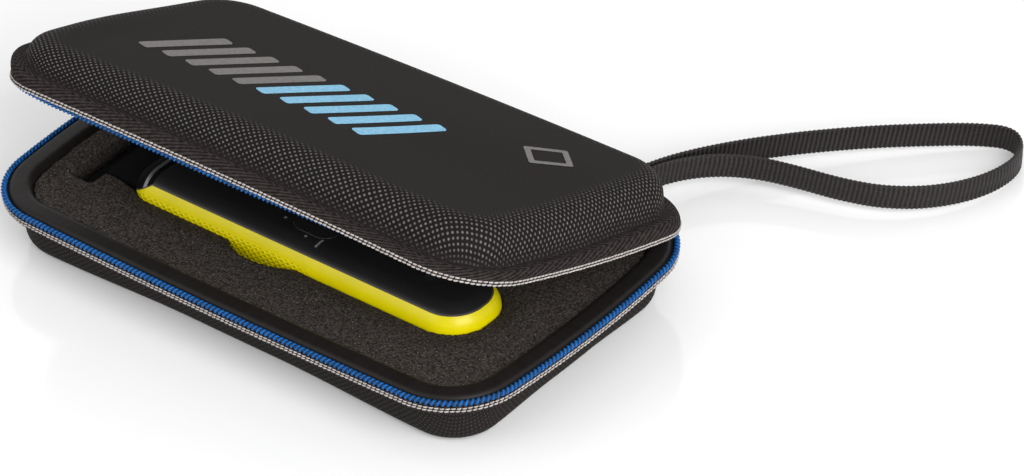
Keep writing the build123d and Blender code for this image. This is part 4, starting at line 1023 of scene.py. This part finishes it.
# ================================================================ lid pieces
def build_lid():
    """The lid's woven dome, the board under it and the brushed lining, all shut, arched and turned to rest.

    A point at inset d and height z of the shut lid takes its share of the roof's climb, c x / L, and then the
    front edge's arch a (1 - (x / L)^2) t, with t from 0 at the hinge to 1 at the front."""
    profile, rise, reference = lid_profile()
    inner, inner_rise, _ = lid_profile(CLOTH)
    inner[:, 1] = np.where(inner[:, 0] >= reference, LID_TOP - CLOTH, inner[:, 1])
    cloth, beyond = cover_coordinates(profile, reference)
    cloth_in, _ = cover_coordinates(inner, reference)
    rows = np.concatenate([ring_rows(inner, climbs=inner_rise)[::-1], ring_rows(profile, climbs=rise)])
    inward = np.clip((profile[:, 0] - reference) / (HALF_WIDTH - reference), 0, 1)
    crown = LID_CROWN * (1 - (1 - inward) ** 2)
    rows[..., 2] += np.concatenate([crown[::-1], crown])[:, None]
    open_weave = smooth_step(beyond - np.maximum(profile[:, 0] - reference, 0), -3.0 * MM, 5.0 * MM)
    # painted shade: the pale dots fade out over the first few millimetres above the crease, where shade falls
    foot = smooth_step(lengths_along(profile), 0.3 * MM, 3.5 * MM)
    stretch_and_painted_light = open_weave * (0.3 + 0.7 * foot)
    values = np.concatenate([stretch_and_painted_light[::-1], stretch_and_painted_light])[:, None].repeat(rows.shape[1], 1)
    piece("lid_woven_cover", lifted(rows), "woven_polyester", "lid", "woven_cover", "lid_outer_fabric",
          uv=np.concatenate([cloth_in[::-1], cloth]), values=values)

    low = LID_FLANGE_BOTTOM + 0.1 * MM
    for name, material, slot, node, near, far in (
            ("lid_board", "eva_board", "eva_board", "lid_shell", CLOTH + 0.05 * MM, CLOTH + BOARD),
            ("lid_lining", "brushed_nylon", "brushed_lining", "lid_lining", CLOTH + BOARD + 0.05 * MM,
             CLOTH + BOARD + 0.5 * MM)):
        faces = []
        for depth in (far, near):
            wall, climb, _ = lid_profile(depth)
            wall[:, 1] = np.where(wall[:, 0] >= reference, LID_TOP - depth, wall[:, 1])
            foot_run = run((max(wall[0, 0], CREASE_INSET + depth), low), wall[0], step=1.5 * MM)[:-1]
            climb = np.concatenate([np.zeros(len(foot_run)), climb])
            faces.append(ring_rows(np.concatenate([foot_run, wall]), HALF_RING, climb))
        piece(name, lifted(np.concatenate([faces[0][::-1], faces[1]])), material, "lid", slot, node)


def build_lid_zipper():
    """The lid's tape, small coil, seam and padded lip, settled, arched and turned to rest."""
    build_tape("lid_tape_band", "lid", "lid_zipper_tape", tape_profile(LID_TAPE_BOTTOM, LID_CREASE, 1), -CLOTH,
               lifted)
    build_coil("lid", "lid", "lid_zipper_coil", LID_COIL_Z, 0.1 * MM, 0.6 * MM, 0.8 * MM, np.pi, lifted)
    build_stitches("lid_seam_stitches", "lid", "lid_stitch_rows",
                   (COIL_Z + 1.65 * MM, COIL_Z + 2.55 * MM), lifted)
    low = LID_FLANGE_BOTTOM
    profile = joined(arc(3.0 * MM, low - 0.1 * MM, 1.3 * MM, 180, 270, 5),
                     arc(7.2 * MM, low - 0.1 * MM, 1.3 * MM, 270, 360, 5),
                     run((8.5 * MM, low - 0.1 * MM), (8.5 * MM, low + 2.0 * MM)),
                     run((1.8 * MM, low + 2.0 * MM), (1.7 * MM, low), step=1 * MM))
    build_lip("lid_padded_lip", "lid", "lid_rim_lip", profile, lifted)


STRIPE_TURN = np.radians(70)
STRIPE_FIRST = (-57, -6)         # the first stripe's middle, in millimetres
STRIPE_STEP = 9                  # from stripe to stripe, in millimetres
STRIPE_TONES = 5 * ("grey",) + 5 * ("blue",)
DIAMOND_PLACE = np.array([60 * MM, 18 * MM])
DIAMOND_SIDE = 13 * MM


def roof_height(x):
    """The shut roof's height at a plan place, with its climb and crown."""
    return LID_TOP + LID_CLIMB * x / HALF_LENGTH + LID_CROWN


def draped_patch(outer, hole=None, rings=10):
    """Top and edge of a thin print on the roof, as rows from its middle (or its hole's edge) out and down."""
    inner = outer[:-1].mean(0)[None].repeat(len(outer), 0) if hole is None else hole
    share = np.linspace(0, 1, rings)[:, None, None]
    plan = inner[None] * (1 - share) + outer[None] * share
    top = np.concatenate([plan, roof_height(plan[..., 0])[..., None] + PRINT_LIFT], 2)
    return np.concatenate([top, top[::-1] - (0, 0, PRINT_THICK)])


def turned(points, turn):
    """Plan points turned about the vertical."""
    c, s = np.cos(turn), np.sin(turn)
    return points @ np.array([[c, s], [-s, c]])


def rounded_bar(length, width, radius, turn, centre, steps=6):
    """A rounded rectangle's outline, closed, turned and moved."""
    half = np.array([length / 2 - radius, width / 2 - radius])
    angle = np.linspace(0, np.pi / 2, steps)
    quarter = radius * np.stack([np.cos(angle), np.sin(angle)], 1)
    points = []
    for k, (sx, sy) in enumerate(((1, 1), (-1, 1), (-1, -1), (1, -1))):
        points.append(turned(quarter, k * np.pi / 2) + half * (sx, sy))
    points = np.concatenate(points)
    fine = []
    for a, b in zip(points, np.roll(points, -1, 0)):
        parts = max(1, int(np.linalg.norm(b - a) / (1.5 * MM)))
        fine += [a + (b - a) * t / parts for t in range(parts)]
    return turned(np.array(fine + [fine[0]]), turn) + np.array(centre)


def build_print():
    """The printed stripes and diamond: thin patches that follow the roof."""
    size = sizes()
    for k, tone in enumerate(STRIPE_TONES):
        centre = ((STRIPE_FIRST[0] + STRIPE_STEP * k) * MM, STRIPE_FIRST[1] * MM)
        bar = rounded_bar(size.stripe_length, size.stripe_width, 1.2 * MM, STRIPE_TURN, centre)
        piece(f"printed_stripe_{k + 1}", lifted(draped_patch(bar)), "print_" + tone, "lid", "print_" + tone,
              *(["lid_print_" + tone] if k in (0, 5) else []))
    outer = rounded_bar(DIAMOND_SIDE, DIAMOND_SIDE, 0.8 * MM, np.pi / 4, DIAMOND_PLACE)
    hole = DIAMOND_PLACE + (outer - DIAMOND_PLACE) * 0.72
    piece("printed_diamond", lifted(draped_patch(outer, hole, 3)), "print_grey", "lid", "print_grey", closed=True)


# ================================================================ shaver
TICK_PLACE = (9.9 * MM, -18.7 * MM)
TICK_SIZE = (0.7 * MM, 3.6 * MM)
DOT_PLACES = ((-6.2 * MM, -14.7 * MM), (4.5 * MM, -18.3 * MM))


def panel_mark(name, outline_points):
    """A thin printed mark on the panel: its points drop straight down on to it."""
    panel = frame["nodes"]["shaver_front_panel"]
    centre = outline_points[:-1].mean(0)
    plan = centre + (outline_points - centre) * np.linspace(0, 1, 4)[:, None, None]
    fall = [[panel.ray_cast((*point, 0.1), (0, 0, -1))[1].z for point in row] for row in plan]
    top = np.concatenate([plan, (np.array(fall) + 0.03 * MM)[..., None]], 2)
    piece(name, np.concatenate([top, top[::-1] - (0, 0, 0.05 * MM)]), "mark_grey", "base", "trim_grey")


def build_shaver():
    """The shaver keeps its solid shapes and takes its finishes; a tick and two dots are printed on its panel."""
    dress(*(name for names in DRESSED.values() for name in names if name.startswith("shaver_")))
    panel_mark("panel_tick", rounded_bar(*TICK_SIZE, 0.2 * MM, 0.0, TICK_PLACE))
    for k, place in enumerate(DOT_PLACES):
        panel_mark(f"panel_dot_{k + 1}", rounded_bar(0.9 * MM, 0.9 * MM, 0.44 * MM, 0.0, place))


# ================================================================ stage
# the camera's place, its turn, fall and roll, and its lens in millimetres
CAMERA_PLACE = (0.9108, -1.0053, 0.9814)
CAMERA_TURN = (0.6984, 0.6226, -0.0371)
CAMERA_LENS = 200.42


def aimed(name, data, side, up, back, place):
    """A lamp's or a camera's object, from its own three directions and its place."""
    made = add_object(name, data)
    made.matrix_world = Matrix(np.stack([side, up, back, place], 1).tolist() + [(0, 0, 0, 1)])
    return made


def area_light(name, place, size, power):
    """A square soft light that faces the middle of the case."""
    lamp = bpy.data.lights.new(name, "AREA")
    lamp.energy = power
    lamp.size = size
    back = unit(np.array(place))
    side = unit(np.cross([0, 0, 1.0], back))
    return aimed(name, lamp, side, np.cross(back, side), back, place)


def build_surround():
    """The world lights the case softly; a camera, a mirror or a lens sees it as plain white."""
    world = bpy.data.worlds.new("surround")
    world.use_nodes = True
    tree = world.node_tree
    path = add_node(tree, "ShaderNodeLightPath")
    seen = maths(tree, "MAXIMUM", path.outputs["Is Camera Ray"],
                 maths(tree, "MAXIMUM", path.outputs["Is Glossy Ray"], path.outputs["Is Transmission Ray"]))
    strength = maths(tree, "MULTIPLY_ADD", seen, 1 - SURROUND_LIGHT, SURROUND_LIGHT)
    background = tree.nodes["Background"]
    background.inputs["Color"].default_value = (1.0, 1.0, 1.0, 1.0)
    tree.links.new(strength, background.inputs["Strength"])
    bpy.context.scene.world = world


def build_floor():
    """A pale polished floor, large enough that no view sees its edge close by."""
    tree, shader = start_material("floor_white", Base_Color=linear("#fafafa"), Roughness=0.1,
                                  Specular_IOR_Level=0.6, Emission_Color=(1.0, 1.0, 1.0, 1.0))
    seen = add_node(tree, "ShaderNodeLightPath").outputs["Is Camera Ray"]
    tree.links.new(maths(tree, "MULTIPLY", seen, FLOOR_LIFT), shader.inputs["Emission Strength"])
    corners = FLOOR_REACH * np.array([(-1, -1, 0), (1, -1, 0), (1, 1, 0), (-1, 1, 0)], float)
    mesh = new_mesh("floor", corners, np.array([(0, 1, 2, 3)]))
    mesh.materials.append(MATERIALS["floor_white"])
    return add_object("floor", mesh)


def build_camera():
    """The camera from its place, its turn about the vertical, its fall below the level and its roll."""
    turn, fall, roll = CAMERA_TURN
    forward = np.array([-np.sin(turn) * np.cos(fall), np.cos(turn) * np.cos(fall), -np.sin(fall)])
    right = np.array([np.cos(turn), np.sin(turn), 0.0])
    up = np.cross(right, forward)
    side = right * np.cos(roll) + up * np.sin(roll)
    top = -right * np.sin(roll) + up * np.cos(roll)
    data = bpy.data.cameras.new("camera")
    data.lens = CAMERA_LENS
    data.sensor_width = 36.0
    data.clip_start = 0.05
    data.clip_end = 20.0
    camera = aimed("camera", data, side, top, -forward, CAMERA_PLACE)
    bpy.context.scene.camera = camera
    return camera


def build_stage():
    """The floor, the surround, two soft lights and the camera."""
    bpy.context.scene.view_settings.view_transform = "Standard"
    build_surround()
    lamps = [area_light(*lamp) for lamp in LAMPS]
    build_floor()
    build_camera()


# ================================================================ add-on
def length(name, description, default):
    """A length that a user would change, in metres."""
    return bpy.props.FloatProperty(name=name, description=description, default=default, unit="LENGTH")


def colour(name, description, hex_colour):
    """A colour that a user would change."""
    return bpy.props.FloatVectorProperty(name=name, description=description, subtype="COLOR", size=4,
                                         default=linear(hex_colour))


class CaseSizes(bpy.types.PropertyGroup):
    """Sizes of the cloths, threads and prints that a user would change."""
    coil_pitch: length("Coil pitch", "Length of one turn of the zipper coil", 1.58 * MM)
    stitch_length: length("Stitch length", "Length of thread that shows in each stitch", 1.42 * MM)
    weave_length: length("Weave length", "Distance between crossings of the weave along the case", 2.19 * MM)
    weave_width: length("Weave width", "Distance between crossings of the weave across the case", 1.83 * MM)
    tape_rib: length("Tape rib", "Distance between the ribs of the zipper tape", 1.2 * MM)
    strap_rib: length("Strap rib", "Distance between the ribs of the wrist strap", 1.45 * MM)
    grip_scale: length("Grip scale", "Distance between the scales of the shaver's grip", 2.4 * MM)
    stripe_length: length("Stripe length", "Length of each printed stripe", 30 * MM)
    stripe_width: length("Stripe width", "Width of each printed stripe", 5 * MM)


class CaseColours(bpy.types.PropertyGroup):
    """Colours of the cloths, foams, plastics and inks."""
    cloth: colour("Cover", "Woven cover", "#252221")
    # the pale dots in this colour are partly the threads and partly a painted highlight
    cloth_threads: colour("Core threads", "Pale threads that show where the cover is stretched", "#716d6b")
    tape: colour("Tape", "Zipper tape", "#2a2625")
    coil: colour("Coil", "Zipper coil", "#0c5aa0")
    thread: colour("Thread", "Seam thread", "#b2aba7")
    lip: colour("Lip", "Padded lips", "#1f1c1b")
    foam: colour("Foam", "Foam insert", "#3a3532")
    foam_specks: colour("Foam specks", "Broken cells of the foam", "#8d8883")
    webbing: colour("Webbing", "Wrist strap", "#201d1c")
    print_blue: colour("Blue ink", "Blue stripes", "#89c4e3")
    print_grey: colour("Grey ink", "Grey stripes and diamond", "#777472")
    grip: colour("Grip", "Shaver's grip", "#f0e000")
    panel: colour("Panel", "Shaver's glossy panel", "#222223")
    trim: colour("Trim", "Shaver's seam trim", "#423d38")


class CASE_OT_materials(bpy.types.Operator):
    """Makes the cloths, foams, plastics, metals and inks."""
    bl_idname = "case.materials"
    bl_label = "Materials"

    def execute(self, context):
        for make in MAKERS:
            make()
        return {"FINISHED"}


class CASE_OT_stage(bpy.types.Operator):
    """Sets the floor, the surround, the lights and the camera."""
    bl_idname = "case.stage"
    bl_label = "Stage"

    def execute(self, context):
        build_stage()
        return {"FINISHED"}


class CASE_OT_tray(bpy.types.Operator):
    """Builds the tray's woven cover, board, lining and backing sheet."""
    bl_idname = "case.tray"
    bl_label = "Tray"

    def execute(self, context):
        build_tray()
        return {"FINISHED"}


class CASE_OT_tray_zipper(bpy.types.Operator):
    """Builds the tray's tape, coil, seam and padded lip."""
    bl_idname = "case.tray_zipper"
    bl_label = "Tray zipper"

    def execute(self, context):
        build_tray_zipper()
        return {"FINISHED"}


class CASE_OT_foam(bpy.types.Operator):
    """Builds the foam block with its cut wells."""
    bl_idname = "case.foam"
    bl_label = "Foam insert"

    def execute(self, context):
        build_foam()
        return {"FINISHED"}


class CASE_OT_strap(bpy.types.Operator):
    """Builds the ribbed wrist strap along its route."""
    bl_idname = "case.strap"
    bl_label = "Wrist strap"

    def execute(self, context):
        build_strap()
        return {"FINISHED"}


class CASE_OT_hinge(bpy.types.Operator):
    """Builds the strip of cloth that joins the lid to the tray."""
    bl_idname = "case.hinge"
    bl_label = "Fabric hinge"

    def execute(self, context):
        build_hinge_cloth()
        return {"FINISHED"}


class CASE_OT_metal(bpy.types.Operator):
    """Finishes the sliders, the pulls and the stops of the tracks."""
    bl_idname = "case.metal"
    bl_label = "Sliders and stops"

    def execute(self, context):
        build_metal()
        return {"FINISHED"}


class CASE_OT_lid(bpy.types.Operator):
    """Builds the lid's woven dome, board and lining."""
    bl_idname = "case.lid"
    bl_label = "Lid"

    def execute(self, context):
        build_lid()
        return {"FINISHED"}


class CASE_OT_lid_zipper(bpy.types.Operator):
    """Builds the lid's tape, coil, seam and padded lip."""
    bl_idname = "case.lid_zipper"
    bl_label = "Lid zipper"

    def execute(self, context):
        build_lid_zipper()
        return {"FINISHED"}


class CASE_OT_print(bpy.types.Operator):
    """Builds the printed stripes and diamond on the lid."""
    bl_idname = "case.print"
    bl_label = "Print"

    def execute(self, context):
        build_print()
        return {"FINISHED"}


class CASE_OT_shaver(bpy.types.Operator):
    """Finishes the shaver's body, head and inside, and marks its panel."""
    bl_idname = "case.shaver"
    bl_label = "Shaver"

    def execute(self, context):
        build_shaver()
        return {"FINISHED"}


OPERATORS = (CASE_OT_materials, CASE_OT_stage, CASE_OT_tray, CASE_OT_tray_zipper, CASE_OT_foam, CASE_OT_strap,
             CASE_OT_hinge, CASE_OT_metal, CASE_OT_lid, CASE_OT_lid_zipper, CASE_OT_print, CASE_OT_shaver)


class CASE_PT_panel(bpy.types.Panel):
    """Lists the sizes, the colours and the pieces in the order in which they are built."""
    bl_idname = "CASE_PT_panel"
    bl_label = "Hard case"
    bl_space_type = "VIEW_3D"
    bl_region_type = "UI"
    bl_category = "Case"

    def draw(self, context):
        for group in (context.scene.case_sizes, context.scene.case_colours):
            box = self.layout.box()
            for name in type(group).__annotations__:
                box.prop(group, name)
        for operator in OPERATORS:
            self.layout.operator(operator.bl_idname)


CLASSES = (CaseSizes, CaseColours, *OPERATORS, CASE_PT_panel)


def register():
    for each in CLASSES:
        bpy.utils.register_class(each)
    bpy.types.Scene.case_sizes = bpy.props.PointerProperty(type=CaseSizes)
    bpy.types.Scene.case_colours = bpy.props.PointerProperty(type=CaseColours)


def unregister():
    del bpy.types.Scene.case_colours
    del bpy.types.Scene.case_sizes
    for each in reversed(CLASSES):
        bpy.utils.unregister_class(each)


def main():
    register()
    for operator in OPERATORS:
        getattr(bpy.ops.case, operator.bl_idname.split(".")[1])()


if __name__ == "__main__":
    main()
